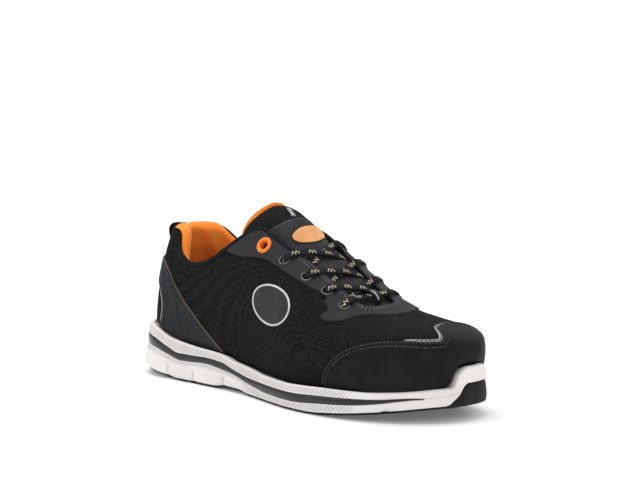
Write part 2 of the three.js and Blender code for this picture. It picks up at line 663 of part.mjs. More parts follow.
const matter = (colour, roughness, metalness = 0) => new THREE.MeshStandardMaterial({ color: colour, roughness, metalness });
const black = matter(0x1d1c1d, 0.85);
const charcoal = matter(0x3a3a3c, 0.7);
const nearBlack = matter(0x232324, 0.75);
const white = matter(0xe3deda, 0.6);
const rubber = matter(0x2b2b2c, 0.8);
const orange = matter(0xf0862a, 0.9);
const orangePlastic = matter(0xe8741c, 0.45);
const silver = matter(0xa9aaac, 0.5, 0.2);
const gunmetal = matter(0x4a4a4d, 0.35, 0.8);
const lace = matter(0x3a3938, 0.9);

// The origin sits under the middle of the sole's box.
const centreY = (soleWidth.medial[2] - soleWidth.lateral[2]) / 2;
const group = new THREE.Group();
function place(name, geometry, material) {
  const mesh = new THREE.Mesh(geometry, material);
  mesh.name = name;
  mesh.position.set(-soleLength / 2, -centreY, 0);
  group.add(mesh);
}
place('outsole', makeOutsole(), rubber);
place('midsole', makeMidsole(), white);
place('sole_stripe', toGeometry(toSolid(stripeGeometry())), charcoal);
place('insole', toGeometry(toSolid(soleSkin(insoleProfile))), charcoal);
place('upper', makeUpper(), black);
place('toe_cap', makeToeCap(), nearBlack);
place('heel_counter', toGeometry(overlayShell.intersect(block(counterOutline, -90, 90, 'side'))), charcoal);
place('eyestay', makeEyestay(), charcoal);
place('collar_lining', makeCollarLining(), orange);
place('tongue', toGeometry(toSolid(makeTongue())), black);
place('tongue_lining', toGeometry(toSolid(makeTongueLining())), orange);
place('pull_loop', makePullLoop(), black);
place('lace_bar', makeBar(), lace);
place('lace_cross_1', makeCross(1), lace);
place('lace_cross_2', makeCross(2), lace);
place('lace_cross_3', makeCross(3), lace);
place('lace_keeper', makeKeeper(), silver);
for (const side of sides) {
  eyeletRows[side].forEach(([x, y], i) => {
    place(`eyelet_${side}_${i + 1}`, rivetRing(eyeletOuter, eyeletBore, x, y), gunmetal);
  });
  place(`grommet_${side}`, rivetRing(grommetOuter, grommetBore, ...grommetAt[side]), orangePlastic);
}

export default group;
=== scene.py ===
# Low safety trainer for the right foot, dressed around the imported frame.
# Lengths are in millimetres from the back of the heel until a mesh is made.
import math

import bpy
import numpy as np
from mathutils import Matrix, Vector


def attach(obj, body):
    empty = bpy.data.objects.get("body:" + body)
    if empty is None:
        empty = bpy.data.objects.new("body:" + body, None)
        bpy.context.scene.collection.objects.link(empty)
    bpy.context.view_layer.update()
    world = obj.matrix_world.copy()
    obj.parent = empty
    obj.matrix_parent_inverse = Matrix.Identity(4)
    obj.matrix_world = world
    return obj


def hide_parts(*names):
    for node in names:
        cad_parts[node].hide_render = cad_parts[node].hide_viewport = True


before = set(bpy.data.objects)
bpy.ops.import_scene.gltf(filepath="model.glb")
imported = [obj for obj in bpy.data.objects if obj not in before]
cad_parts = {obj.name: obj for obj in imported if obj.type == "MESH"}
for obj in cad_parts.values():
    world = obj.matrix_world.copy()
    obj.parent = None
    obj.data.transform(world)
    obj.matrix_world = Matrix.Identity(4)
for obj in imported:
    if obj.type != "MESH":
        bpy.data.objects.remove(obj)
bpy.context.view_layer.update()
bpy.ops.object.select_all(action="DESELECT")
root = "root"

last = {
    "length": 302, "heelX": 40, "ballX": 208, "waistX": 112, "toeY": 7.5,
    "soleWidth": {-1: (38.5, 40, 58.5), 1: (38, 34, 51.5)},
    "heelRound": 2.2, "soleToeRound": 2.25, "upperToeRound": 2.5,
    "upperInset": {-1: (6, 4.5, 4.5), 1: (6, 2.5, 2)}, "heelInset": 11, "toeInset": 2,
    "bite": 39, "crest": 137, "widest": 42, "spring": 10, "stripe": 31.5, "seat": 30,
    "plate": 4.9, "gap": 0.3, "toeMiddle": 10, "wrapEase": 1.8,
}
# Each row is a share of the length and a share of the size it belongs to.
biteRows = [
    (0.026, 1), (0.109, 0.923), (0.159, 0.806), (0.248, 0.713), (0.351, 0.656), (0.401, 0.567), (0.464, 0.523),
    (0.53, 0.472), (0.629, 0.4615), (0.689, 0.477), (0.762, 0.495), (0.848, 0.497), (0.917, 0.526), (1, 0.585),
]
crestRows = [
    (0.0166, 1), (0.132, 1), (0.331, 1.036), (0.4205, 0.971), (0.467, 0.916), (0.533, 0.8066), (0.603, 0.704),
    (0.669, 0.606), (0.722, 0.533), (0.798, 0.471), (0.877, 0.455), (0.96, 0.456), (1.003, 0.444),
]
widestRows = [
    (0.023, 1), (0.132, 0.905), (0.371, 0.952), (0.53, 0.905), (0.689, 0.81), (0.828, 0.857), (0.993, 1),
]
groundRows = [
    (0, 0.55), (0.05, 0.42), (0.1, 0.28), (0.15, 0.12), (0.192, 0), (0.325, 0), (0.364, 0.14), (0.417, 0.14),
    (0.464, 0), (0.7, 0), (0.78, 0.18), (0.845, 0.4), (0.91, 0.66), (0.96, 0.86), (1, 1),
]
stripeTopRows = [
    (0, 1), (0.05, 0.978), (0.099, 0.927), (0.155, 0.768), (0.199, 0.657), (0.248, 0.657), (0.3, 0.667),
    (0.357, 0.629), (0.4, 0.521), (0.47, 0.419), (0.553, 0.397), (0.63, 0.39), (0.745, 0.435), (0.88, 0.483),
    (0.957, 0.545),
]
stripeLowRows = [
    (0, 0.778), (0.05, 0.746), (0.11, 0.689), (0.16, 0.584), (0.203, 0.498), (0.247, 0.511), (0.298, 0.533),
    (0.348, 0.486), (0.4, 0.416), (0.47, 0.289), (0.553, 0.219), (0.64, 0.21), (0.745, 0.276), (0.824, 0.33),
    (0.88, 0.4), (0.915, 0.46), (0.957, 0.508),
]
seatRows = [(0.03, 1), (0.13, 0.917), (0.25, 0.8), (0.37, 0.667), (0.5, 0.55), (0.69, 0.5), (0.85, 0.567), (1, 0.66)]
roundRows = [
    (0.023, 1.65), (0.132, 1.68), (0.265, 2), (0.43, 2.3), (0.53, 2.3), (0.689, 2.25), (0.828, 2.75), (0.944, 3.25),
    (0.993, 3.4),
]
tuckRows = [(0.023, 0.03), (0.132, 0.03), (0.371, 0.06), (0.689, 0.06), (0.993, 0.03)]
# Rows of distance from the toe's middle, and the height of the white wrap and of the bumper there.
wrapRows = [(8, 35.6), (12.5, 34), (16.5, 30.4), (19.2, 24.8), (21.5, 21.6), (23, 15)]
bumperRows = [(9, 24.9), (11, 24), (12.5, 22.9), (14.8, 19.6), (16.5, 17.5), (20, 14.6), (24, 12.1)]


def smooth(t):
    t = np.clip(t, 0, 1)
    return t * t * (3 - 2 * t)


def rise(a, b, v):
    return smooth((np.asarray(v, float) - a) / (b - a))


def blend(a, b, t):
    return a + (b - a) * t


def hermite(t, h, a, b, slopeA, slopeB):
    return (
        (2 * t**3 - 3 * t**2 + 1) * a + (t**3 - 2 * t**2 + t) * h * slopeA
        + (3 * t**2 - 2 * t**3) * b + (t**3 - t**2) * h * slopeB
    )


def lengthAlong(points):
    # how far along a line each of its points lies
    steps = np.linalg.norm(np.diff(points[:, :3], axis=0), axis=1)
    return np.concatenate([[0], np.cumsum(steps)])


def bisect(tooLow, low, high, rounds=34):
    for _ in range(rounds):
        mid = (low + high) / 2
        more = tooLow(mid)
        low, high = np.where(more, mid, low), np.where(more, high, mid)
    return low


def read(rows, at):
    # a smooth curve through the rows, with no overshoot
    xs, ys = (np.array(column, float) for column in zip(*rows))
    run = np.diff(xs)
    steep = np.diff(ys) / run
    slope = np.zeros(len(xs))
    a, b = run[:-1], run[1:]
    both = steep[:-1] * steep[1:] > 0
    with np.errstate(divide="ignore", invalid="ignore"):
        middle = 3 * (a + b) / ((2 * b + a) / steep[:-1] + (b + 2 * a) / steep[1:])
    slope[1:-1] = np.where(both, middle, 0)
    x = np.clip(np.asarray(at, float), xs[0], xs[-1])
    i = np.clip(np.searchsorted(xs, x, side="right") - 1, 0, len(run) - 1)
    return hermite((x - xs[i]) / run[i], run[i], ys[i], ys[i + 1], slope[i], slope[i + 1])


def along(rows, size):
    return lambda x: last[size] * read(rows, np.asarray(x, float) / last["length"])


biteLine, crestLine, widestLine = along(biteRows, "bite"), along(crestRows, "crest"), along(widestRows, "widest")
ground, seat = along(groundRows, "spring"), along(seatRows, "seat")
stripeTop, stripeLow = along(stripeTopRows, "stripe"), along(stripeLowRows, "stripe")


def roundness(x):
    return read(roundRows, np.asarray(x, float) / last["length"])


def tuck(x):
    return read(tuckRows, np.asarray(x, float) / last["length"])


def spine(s):
    # s runs 0 at the back of the heel, 1 at its side, 2 at the ball and 3 at the tip of the toe
    middle = np.clip(s - 1, 0, 1)
    return last["heelX"] + (last["ballX"] - last["heelX"]) * middle, last["toeY"] * smooth(middle)


def widthAt(x, sign, widths):
    spots = (last["heelX"], last["waistX"], last["ballX"])
    outer, inner = (read(list(zip(spots, widths[side])), x) for side in (-1, 1))
    return np.where(sign < 0, outer, inner)


def arms(s, sign, y, half, widths, back, tip, toeRound):
    # from the spine out to the rim, round at the heel and blunter at the toe
    heelWidth, _, ballWidth = (np.where(sign < 0, widths[-1][i], widths[1][i]) for i in range(3))
    a = np.pi / 2 * (1 - np.clip(s, 0, 1))
    b = np.pi / 2 * (np.clip(s, 2, 3) - 2)
    heelPower, toePower = 2 / last["heelRound"], 2 / toeRound
    ex = np.where(s < 1, -(last["heelX"] - back) * np.sin(a) ** heelPower, 0.0)
    ex = np.where(s > 2, (tip - last["ballX"]) * np.sin(b) ** toePower, ex)
    ey = sign * half - y
    ey = np.where(s < 1, sign * heelWidth * np.cos(a) ** heelPower, ey)
    toeArm = sign * (ballWidth - sign * last["toeY"]) * np.clip(np.cos(b), 0, 1) ** toePower
    return ex, np.where(s > 2, toeArm, ey)


def solePoint(s, sign, inset=0.0, share=1.0):
    s, sign, inset = np.broadcast_arrays(np.asarray(s, float), np.asarray(sign), np.asarray(inset, float))
    widths = {side: [w - inset for w in last["soleWidth"][side]] for side in (-1, 1)}
    x, y = spine(s)
    half = widthAt(x, sign, last["soleWidth"]) - inset
    ex, ey = arms(s, sign, y, half, widths, inset, last["length"] - inset, last["soleToeRound"])
    return x + ex * share, y + ey * share


def fromToe(s, sign):
    return np.abs(solePoint(s, sign)[1] - last["toeMiddle"])


def near(a, b, s, sign):
    return np.where(np.asarray(s) > 2, 1 - rise(a, b, fromToe(s, sign)), 0.0)


def biteAt(s, sign):
    low = biteLine(solePoint(s, sign)[0])
    return np.where(np.asarray(s) > 2, np.maximum(low, read(wrapRows, fromToe(s, sign))), low)


def upperPlan(s, sign, grow=0.0):
    s, sign = np.broadcast_arrays(np.asarray(s, float), np.asarray(sign))
    widths = {side: [w - i + grow for w, i in zip(last["soleWidth"][side], last["upperInset"][side])]
              for side in (-1, 1)}
    x, y = spine(s)
    tip = last["length"] - last["toeInset"] + grow
    ex, ey = arms(s, sign, y, widthAt(x, sign, widths), widths, last["heelInset"] - grow, tip, last["upperToeRound"])
    return x, y, ex, ey


def formPoint(s, sign, level):
    # level 0 is the bite line, 1 the widest line and 2 the crest
    x0, y0, ex, ey = upperPlan(s, sign)
    rimX = x0 + ex
    wide = widestLine(rimX)
    foot = biteAt(s, sign) + last["gap"] + last["wrapEase"] * near(20, 24, s, sign)
    low = np.clip(level, None, 1)
    turn = (np.clip(level, 1, 2) - 1) * np.pi / 2
    power = 2 / roundness(rimX)
    share = np.where(level <= 1, 1 - tuck(rimX) * (1 - low) ** 2, np.clip(np.cos(turn), 0, 1) ** power)
    x, y = x0 + ex * share, y0 + ey * share
    z = np.where(level <= 1, foot + (wide - foot) * low, wide + (crestLine(x) - wide) * np.sin(turn) ** power)
    return np.stack([x, y, z], -1)


def spineY(x):
    return last["toeY"] * smooth((np.asarray(x, float) - last["heelX"]) / (last["ballX"] - last["heelX"]))


def heightAt(x, y, grow=0.0):
    # height of the upper's form over a plan point
    x, y = np.broadcast_arrays(np.asarray(x, float), np.asarray(y, float))
    sign = np.where(y < spineY(x), -1, 1)
    wanted = np.arctan2(np.abs(y - last["toeY"]), x - last["ballX"])

    def short(station):
        _, _, ex, ey = upperPlan(station, sign, grow)
        return np.arctan2(np.abs(ey), ex) > wanted

    low = bisect(short, np.full(x.shape, 2.0), np.full(x.shape, 3.0))
    s = np.where(x > last["ballX"], low, 1 + (x - last["heelX"]) / (last["ballX"] - last["heelX"]))
    x0, y0, ex, ey = upperPlan(s, sign, grow)
    reach = np.hypot(x - x0, y - y0) / np.hypot(ex, ey)
    wide, power = widestLine(x0 + ex), roundness(x0 + ex)
    lift = np.clip(1 - np.clip(reach, 0, 1) ** power, 0, 1) ** (1 / power)
    return wide + (crestLine(x) + grow - wide) * lift


def normalAt(x, y):
    slopeX, slopeY = heightAt(x - 1, y) - heightAt(x + 1, y), heightAt(x, y - 1) - heightAt(x, y + 1)
    n = np.stack([slopeX, slopeY, np.full(np.shape(x), 2.0)], -1)
    return n / np.linalg.norm(n, axis=-1, keepdims=True)


shift = np.array([-last["length"] / 2, (last["soleWidth"][-1][2] - last["soleWidth"][1][2]) / 2, 0])


def toFrame(points):
    return (np.asarray(points, float) + shift) / 1000


def meshPiece(name, points, faces, uv=None, values=None, angle=35):
    # a mesh with its doubles merged, its faces turned outwards and its creases set
    mesh = bpy.data.meshes.new(name)
    mesh.from_pydata(toFrame(points).tolist(), [], [list(map(int, f)) for f in faces])
    corner = np.zeros(len(mesh.loops), dtype=np.int32)
    mesh.loops.foreach_get("vertex_index", corner)
    if uv is not None:
        layer = mesh.uv_layers.new(name="UVMap")
        layer.data.foreach_set("uv", (np.asarray(uv, float)[corner] / 1000).astype(np.float32).ravel())
    for key, data in (values or {}).items():
        mesh.attributes.new(key, "FLOAT", "POINT").data.foreach_set("value", np.asarray(data, np.float32))
    piece = bpy.data.objects.new(name, mesh)
    bpy.context.collection.objects.link(piece)
    bpy.ops.object.select_all(action="DESELECT")
    bpy.context.view_layer.objects.active = piece
    piece.select_set(True)
    bpy.ops.object.mode_set(mode="EDIT")
    bpy.ops.mesh.select_all(action="SELECT")
    bpy.ops.mesh.remove_doubles(threshold=0.000004)
    bpy.ops.mesh.normals_make_consistent(inside=False)
    bpy.ops.object.mode_set(mode="OBJECT")
    bpy.ops.object.shade_smooth_by_angle(angle=math.radians(angle))
    piece.select_set(False)
    return piece


def gridFaces(a, b, start=0, closeA=False, closeB=False):
    i, j = np.meshgrid(np.arange(a if closeA else a - 1), np.arange(b if closeB else b - 1), indexing="ij")
    at = lambda p, q: start + (p % a) * b + (q % b)
    return np.stack([at(i, j), at(i + 1, j), at(i + 1, j + 1), at(i, j + 1)], -1).reshape(-1, 4)


def loftFaces(count, across):
    # rings joined one to the next, with a face over each end
    faces = gridFaces(count, across, closeB=True).tolist()
    return faces + [list(range(across)), [(count - 1) * across + j for j in range(across)][::-1]]


def lineDistance(points, line):
    gap = np.full(points.shape[:-1], np.inf)
    for a, b in zip(line[:-1], line[1:]):
        ab = b - a
        t = np.clip(((points - a) @ ab) / (ab @ ab), 0, 1)
        gap = np.minimum(gap, np.linalg.norm(points - (a + t[..., None] * ab), axis=-1))
    return gap


def done(piece, material, nodes=()):
    piece.data.materials.clear()
    piece.data.materials.append(material)
    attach(piece, root)
    if nodes:
        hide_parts(*nodes)
    return piece


def softLine(points, closed=True, rounds=3):
    # corner cutting turns a given outline into a flowing one
    p = np.array(points, float)
    for _ in range(rounds):
        q = np.roll(p, -1, 0) if closed else p[1:]
        base = p if closed else p[:-1]
        cut = np.stack([base * 0.75 + q * 0.25, base * 0.25 + q * 0.75], 1).reshape(-1, p.shape[1])
        p = cut if closed else np.concatenate([p[:1], cut, p[-1:]])
    return p


def depthInside(points, outline):
    # distance to the outline, positive inside it
    flat = points.reshape(-1, 2)
    a, b = outline, np.roll(outline, -1, 0)
    out = np.empty(len(flat))
    for first in range(0, len(flat), 8000):
        p = flat[first:first + 8000, None, :]
        ab = b - a
        t = np.clip(((p - a) * ab).sum(-1) / np.maximum((ab**2).sum(-1), 1e-12), 0, 1)
        gap = np.sqrt((((a + t[..., None] * ab) - p) ** 2).sum(-1)).min(1)
        over = (a[:, 1] > p[..., 1]) != (b[:, 1] > p[..., 1])
        with np.errstate(divide="ignore", invalid="ignore"):
            crossX = a[:, 0] + (p[..., 1] - a[:, 1]) * (b[:, 0] - a[:, 0]) / (b[:, 1] - a[:, 1])
        odd = (over & (p[..., 0] < crossX)).sum(1) % 2 == 1
        out[first:first + 8000] = np.where(odd, gap, -gap)
    return out.reshape(points.shape[:-1])


def gentleMin(a, b, reach):
    h = np.clip(0.5 + 0.5 * (b - a) / reach, 0, 1)
    return blend(b, a, h) - reach * h * (1 - h)


def surfaceDepth(grid, field):
    # turns a seen-from-outside distance into a distance measured on the surface
    p = grid["points"]
    pu, pv = np.gradient(p, axis=0), np.gradient(p, axis=1)
    fu, fv = np.gradient(field, axis=0), np.gradient(field, axis=1)
    e, f, g = (pu * pu).sum(-1), (pu * pv).sum(-1), (pv * pv).sum(-1)
    slope = (g * fu**2 - 2 * f * fu * fv + e * fv**2) / np.maximum(e * g - f * f, 1e-6)
    return field / np.sqrt(np.clip(slope, 0.09, 1.2))


# columns of a surface's table: place, normal, flat place, and distance from a panel's edge
depthColumn = 8


def splitAt(data, tris, level, column=depthColumn):
    # cuts the triangles along one distance, and gives the pairs of points along the cut
    value = data[:, column] - level
    value[np.abs(value) < 1e-9] = 0
    sign = np.sign(value)
    corner = sign[tris]
    crossing = (corner.min(1) < 0) & (corner.max(1) > 0)
    made, rows, fresh, pairs = {}, [], [], []
    start = len(data)

    def cut(i, j):
        key = (i, j) if i < j else (j, i)
        if key not in made:
            t = value[key[0]] / (value[key[0]] - value[key[1]])
            row = data[key[0]] * (1 - t) + data[key[1]] * t
            row[column] = level
            rows.append(row)
            made[key] = start + len(rows) - 1
        return made[key]

    for tri in tris[crossing]:
        for k in range(3):
            i, j, m = int(tri[k]), int(tri[(k + 1) % 3]), int(tri[(k + 2) % 3])
            if sign[i] * sign[j] < 0 and sign[i] * sign[m] < 0:
                p, q = cut(i, j), cut(i, m)
                fresh += [(i, p, q), (p, j, m), (p, m, q)]
                pairs.append((p, q))
                break
            if sign[i] == 0:
                p = cut(j, m)
                fresh += [(i, j, p), (i, p, m)]
                pairs.append((i, p))
                break
    if rows:
        data = np.concatenate([data, np.array(rows)])
        tris = np.concatenate([tris[~crossing], np.array(fresh)])
    return data, tris, pairs


def chains(pairs):
    links = {}
    for a, b in pairs:
        links.setdefault(a, []).append(b)
        links.setdefault(b, []).append(a)
    out, seen = [], set()
    for start in sorted(links, key=lambda k: (len(links[k]) != 1, k)):
        if start in seen:
            continue
        line, here = [start], start
        seen.add(start)
        while True:
            ahead = [n for n in links[here] if n not in seen]
            if not ahead:
                break
            here = ahead[0]
            seen.add(here)
            line.append(here)
        if line[0] in links[line[-1]] and len(line) > 2:
            line.append(line[0])
        out.append(line)
    return out


def gridData(grid, depth, reach):
    n = depth.size
    a, b = depth.shape
    columns = [grid[key].reshape(n, -1) for key in ("points", "normals", "uv")] + [depth.reshape(n, 1)]
    quads = gridFaces(a, b)
    quads = quads[(depth.reshape(-1)[quads] > -reach).any(1)]
    tris = np.concatenate([quads[:, [0, 1, 2]], quads[:, [0, 2, 3]]])
    return np.concatenate(columns, 1), tris


def contour(grid, depth, level):
    # lines on the surface at one distance from a panel's edge, with their normals
    data, tris = gridData(grid, depth, 3)
    data, _, pairs = splitAt(data, tris, level)
    return [data[line, :6] for line in chains(pairs) if len(line) > 3]


def cutPanel(name, grid, depth, low, high, edge, swell=None, angle=35, snap=0.12, far=None):
    # one closed sheet wherever depth is above zero (and under far), with rounded edges
    levels = [0.0] + [edge * share for share in (0.2, 0.55, 1.0)]
    if far is not None:
        levels += [far - level for level in reversed(levels)]
    depth = depth.copy()
    for level in levels:
        depth[np.abs(depth - level) < snap] = level
    data, tris = gridData(grid, depth, 3)
    for level in levels:
        data, tris, _ = splitAt(data, tris, level)
    tris = tris[(data[tris, depthColumn] >= -1e-9).all(1)]
    if far is not None:
        tris = tris[(data[tris, depthColumn] <= far + 1e-9).all(1)]
    used, tris = np.unique(tris, return_inverse=True)
    tris = tris.reshape(-1, 3)
    data = data[used]
    reach = data[:, depthColumn]
    inside = reach if far is None else np.minimum(reach, far - reach)
    share = np.clip(inside / edge, 0, 1)
    lift = low + (high - low) * np.sqrt(1 - (1 - share) ** 2)
    if swell is not None:
        lift = lift + swell(data) * share
    outer = data[:, :3] + data[:, 3:6] * lift[:, None]
    inner = data[:, :3] + data[:, 3:6] * low
    n = len(data)
    edges = np.sort(np.concatenate([tris[:, [0, 1]], tris[:, [1, 2]], tris[:, [2, 0]]]), 1)
    unique, count = np.unique(edges, axis=0, return_counts=True)
    free = unique[count == 1]
    free = free[(lift[free] > low + 1e-6).any(1)]
    walls = [(a, b, b + n, a + n) for a, b in free]
    faces = [*tris.tolist(), *(tris[:, ::-1] + n).tolist(), *walls]
    return meshPiece(
        name, np.concatenate([outer, inner]), faces, uv=np.tile(data[:, 6:8], (2, 1)),
        values={"edge": np.tile(reach, 2)}, angle=angle,
    )


def evenly(line, pitch):
    # points, normals and directions every pitch along a line
    run = lengthAlong(line)
    count = max(2, int(run[-1] / pitch))
    at = (np.arange(count) + 0.5) * run[-1] / count
    p = np.stack([np.interp(at, run, line[:, k]) for k in range(6)], -1)
    ahead = np.stack([np.interp(at + 0.6, run, line[:, k]) for k in range(3)], -1)
    behind = np.stack([np.interp(at - 0.6, run, line[:, k]) for k in range(3)], -1)
    way = ahead - behind
    return p[:, :3], p[:, 3:6], way / np.maximum(np.linalg.norm(way, axis=1, keepdims=True), 1e-9)


def evened(line, step, rounds=3):
    # the same line in equal steps, a little smoother, and how far along it each point lies
    run = lengthAlong(line)
    at = np.linspace(0, run[-1], max(12, int(run[-1] / step)))
    line = np.stack([np.interp(at, run, line[:, c]) for c in range(6)], -1)
    for _ in range(rounds):
        line[1:-1] = (line[:-2] + 2 * line[1:-1] + line[2:]) / 4
    line[:, 3:6] /= np.linalg.norm(line[:, 3:6], axis=1, keepdims=True)
    return line, at


def stitches(name, lines, material, pitch=2.7, length=2.05, thick=0.46, lift=0.12, nodes=()):
    # one thread grain, copied along every line
    ring = [(math.cos(a), math.sin(a)) for a in np.arange(6) * math.pi / 3]
    rows = [(-0.5, 0.0), (-0.42, 0.75), (-0.2, 1), (0.2, 1), (0.42, 0.75), (0.5, 0.0)]
    grain = np.array([(u * length, c * r * thick, q * r * thick) for u, r in rows for c, q in ring])
    grainFaces = gridFaces(len(rows), 6, closeB=True)
    points, faces = [], []
    for line in lines:
        p, n, way = evenly(line, pitch)
        across = np.cross(n, way)
        for k in range(len(p)):
            tilt = way[k] + across[k] * 0.12
            faces.append(grainFaces + len(points) * len(grain))
            points.append(p[k] + n[k] * lift + grain[:, :1] * tilt + grain[:, 1:2] * across[k] + grain[:, 2:] * n[k])
    piece = meshPiece(name, np.concatenate(points), np.concatenate(faces), angle=60)
    return done(piece, material, nodes)


def tube(name, centres, normals, half, thick, sides=14, square=2.0):
    # a cord of superellipse section; its UV runs along it and round it
    c, n = np.asarray(centres, float), np.asarray(normals, float)
    way = np.gradient(c, axis=0)
    way /= np.linalg.norm(way, axis=1, keepdims=True)
    across = np.cross(way, n)
    across /= np.linalg.norm(across, axis=1, keepdims=True)
    up = np.cross(across, way)
    a = np.arange(sides) * 2 * np.pi / sides
    cx = np.sign(np.cos(a)) * np.abs(np.cos(a)) ** (2 / square)
    cy = np.sign(np.sin(a)) * np.abs(np.sin(a)) ** (2 / square)
    half, thick = np.broadcast_to(half, len(c)), np.broadcast_to(thick, len(c))
    body = c[:, None] + across[:, None] * cx[None, :, None] * half[:, None, None] \
        + up[:, None] * cy[None, :, None] * thick[:, None, None]
    run = lengthAlong(c)
    u = np.repeat(run, sides)
    v = np.tile(np.where(a > np.pi, 2 * np.pi - a, a) / np.pi * 10, len(c))
    points = body.reshape(-1, 3)
    faces = gridFaces(len(c), sides, closeB=True).tolist()
    tip, end = len(points), (len(c) - 1) * sides
    points = np.concatenate([points, c[:1], c[-1:]])
    u, v = np.append(u, [0, run[-1]]), np.append(v, [5, 5])
    faces += [[tip, (j + 1) % sides, j] for j in range(sides)]
    faces += [[tip + 1, end + j, end + (j + 1) % sides] for j in range(sides)]
    return meshPiece(name, points, faces, uv=np.stack([u, v], -1), angle=60)


def flow(points, steps=8):
    # a curve through given points
    p = np.asarray(points, float)
    run = lengthAlong(p)
    slope = np.gradient(p, run, axis=0)
    out = []
    for i in range(len(p) - 1):
        for t in np.arange(steps) / steps:
            out.append(hermite(t, run[i + 1] - run[i], p[i], p[i + 1], slope[i], slope[i + 1]))
    out.append(p[-1])
    return np.array(out)


def newMaterial(name):
    material = bpy.data.materials.new(name)
    material.use_nodes = True
    tree = material.node_tree
    shader = tree.nodes["Principled BSDF"]
    return material, tree, shader


def node(tree, kind, **settings):
    made = tree.nodes.new(kind)
    for key, value in settings.items():
        if key in made.inputs:
            made.inputs[key].default_value = value
        else:
            setattr(made, key, value)
    return made


def calc(tree, operation, a, b=None):
    made = tree.nodes.new("ShaderNodeMath")
    made.operation = operation
    for socket, value in zip(made.inputs, (a, b)):
        if value is None:
            continue
        if isinstance(value, (int, float)):
            socket.default_value = value
        else:
            tree.links.new(value, socket)
    return made.outputs[0]


def mixColour(tree, share, a, b):
    made = tree.nodes.new("ShaderNodeMix")
    made.data_type = "RGBA"
    tree.links.new(share, made.inputs[0])
    for socket, value in ((made.inputs[6], a), (made.inputs[7], b)):
        if isinstance(value, tuple):
            socket.default_value = (*value, 1)
        else:
            tree.links.new(value, socket)
    return made.outputs[2]


def ramp(tree, value, low, high, a=0.0, b=1.0):
    made = tree.nodes.new("ShaderNodeMapRange")
    made.interpolation_type = "SMOOTHSTEP"
    tree.links.new(value, made.inputs[0])
    for socket, number in zip(made.inputs[1:5], (low, high, a, b)):
        socket.default_value = number
    return made.outputs[0]


def noise(tree, vector, scale, detail=3.0, roughness=0.55):
    made = node(tree, "ShaderNodeTexNoise", Scale=scale, Detail=detail, Roughness=roughness)
    tree.links.new(vector, made.inputs["Vector"])
    return made.outputs["Fac"]


def bump(tree, shader, height, strength, distance, after=None):
    made = node(tree, "ShaderNodeBump", Strength=strength, Distance=distance)
    tree.links.new(height, made.inputs["Height"])
    if after is not None:
        tree.links.new(after, made.inputs["Normal"])
    tree.links.new(made.outputs[0], shader.inputs["Normal"])
    return made.outputs[0]


def places(tree):
    made = tree.nodes.new("ShaderNodeTexCoord")
    return made.outputs["Object"], made.outputs["UV"]


def attribute(tree, name):
    return node(tree, "ShaderNodeAttribute", attribute_name=name).outputs["Fac"]


def linear(*srgb):
    return tuple(((c / 255 + 0.055) / 1.055) ** 2.4 if c > 10 else c / 255 / 12.92 for c in srgb)


def plainMaterial(name, dark, light, roughness, grain, grainScale, patchScale=40, metallic=0.0, edgeTone=None, groove=None,
                  gloss=0.12, ribs=None):
    # one finish for moulded and coated pieces: patchy tone, fine grain and a colour painted along panel edges, which on
    # the counter is a painted highlight
    material, tree, shader = newMaterial(name)
    where, uv = places(tree)
    patch = noise(tree, where, patchScale, 4)
    colour = mixColour(tree, ramp(tree, patch, 0.3, 0.7), dark, light)
    if edgeTone is not None:
        # the colour laid along the panel's edge: a painted highlight on the counter, a lighter edge on the eyestay, a
        # darker one on the toe cap
        edge = attribute(tree, "edge")
        colour = mixColour(tree, ramp(tree, edge, 0.0, 0.9, 1.0, 0.0), colour, edgeTone)
    rough = ramp(tree, noise(tree, where, patchScale * 3), 0.2, 0.8, roughness - 0.07, roughness + 0.07)
    tree.links.new(rough, shader.inputs["Roughness"])
    shader.inputs["Metallic"].default_value = metallic
    shader.inputs["Specular IOR Level"].default_value = gloss
    first = bump(tree, shader, noise(tree, where, grainScale, 2), grain, 0.0003)
    if groove:
        edge = attribute(tree, "edge")
        total = None
        for at in groove:
            dip = ramp(tree, calc(tree, "ABSOLUTE", calc(tree, "SUBTRACT", edge, at)), 0.0, 0.8, -1.0, 0.0)
            total = dip if total is None else calc(tree, "ADD", total, dip)
        bump(tree, shader, total, 0.8, 0.0006, first)
    if ribs is not None:
        # slanted moulded lines, kept to the bands that carry them, with painted shade darkening their troughs
        split = tree.nodes.new("ShaderNodeSeparateXYZ")
        tree.links.new(uv, split.inputs[0])
        leaning = calc(tree, "SUBTRACT", split.outputs[0], calc(tree, "MULTIPLY", split.outputs[1], ribs["slant"]))
        wave = calc(tree, "SINE", calc(tree, "MULTIPLY", leaning, 2 * math.pi / ribs["pitch"]))
        wave = calc(tree, "MULTIPLY", calc(tree, "SUBTRACT", wave, 1.0), attribute(tree, "ribs"))
        colour = mixColour(tree, ramp(tree, wave, -2.0, -0.9, 0.75, 0.0), colour, ribs["troughShade"])
        bump(tree, shader, wave, 0.7, 0.00035, first)
    tree.links.new(colour, shader.inputs["Base Color"])
    return material


def wovenMaterial(name, dark, light, pitch, roughness):
    # closely set cells of a woven textile
    material, tree, shader = newMaterial(name)
    where, _ = places(tree)
    cells = node(tree, "ShaderNodeTexVoronoi", Scale=1 / pitch, Randomness=0.55)
    tree.links.new(where, cells.inputs["Vector"])
    dots = ramp(tree, cells.outputs["Distance"], 0.15, 0.6, 1.0, 0.0)
    fuzz = noise(tree, where, 900, 2)
    tone = calc(tree, "MULTIPLY", dots, ramp(tree, noise(tree, where, 60), 0.2, 0.8, 0.7, 1.0))
    tree.links.new(mixColour(tree, tone, dark, light), shader.inputs["Base Color"])
    shader.inputs["Roughness"].default_value = roughness
    shader.inputs["Specular IOR Level"].default_value = 0.08
    bump(tree, shader, calc(tree, "ADD", dots, calc(tree, "MULTIPLY", fuzz, 0.4)), 0.5, 0.0004)
    return material


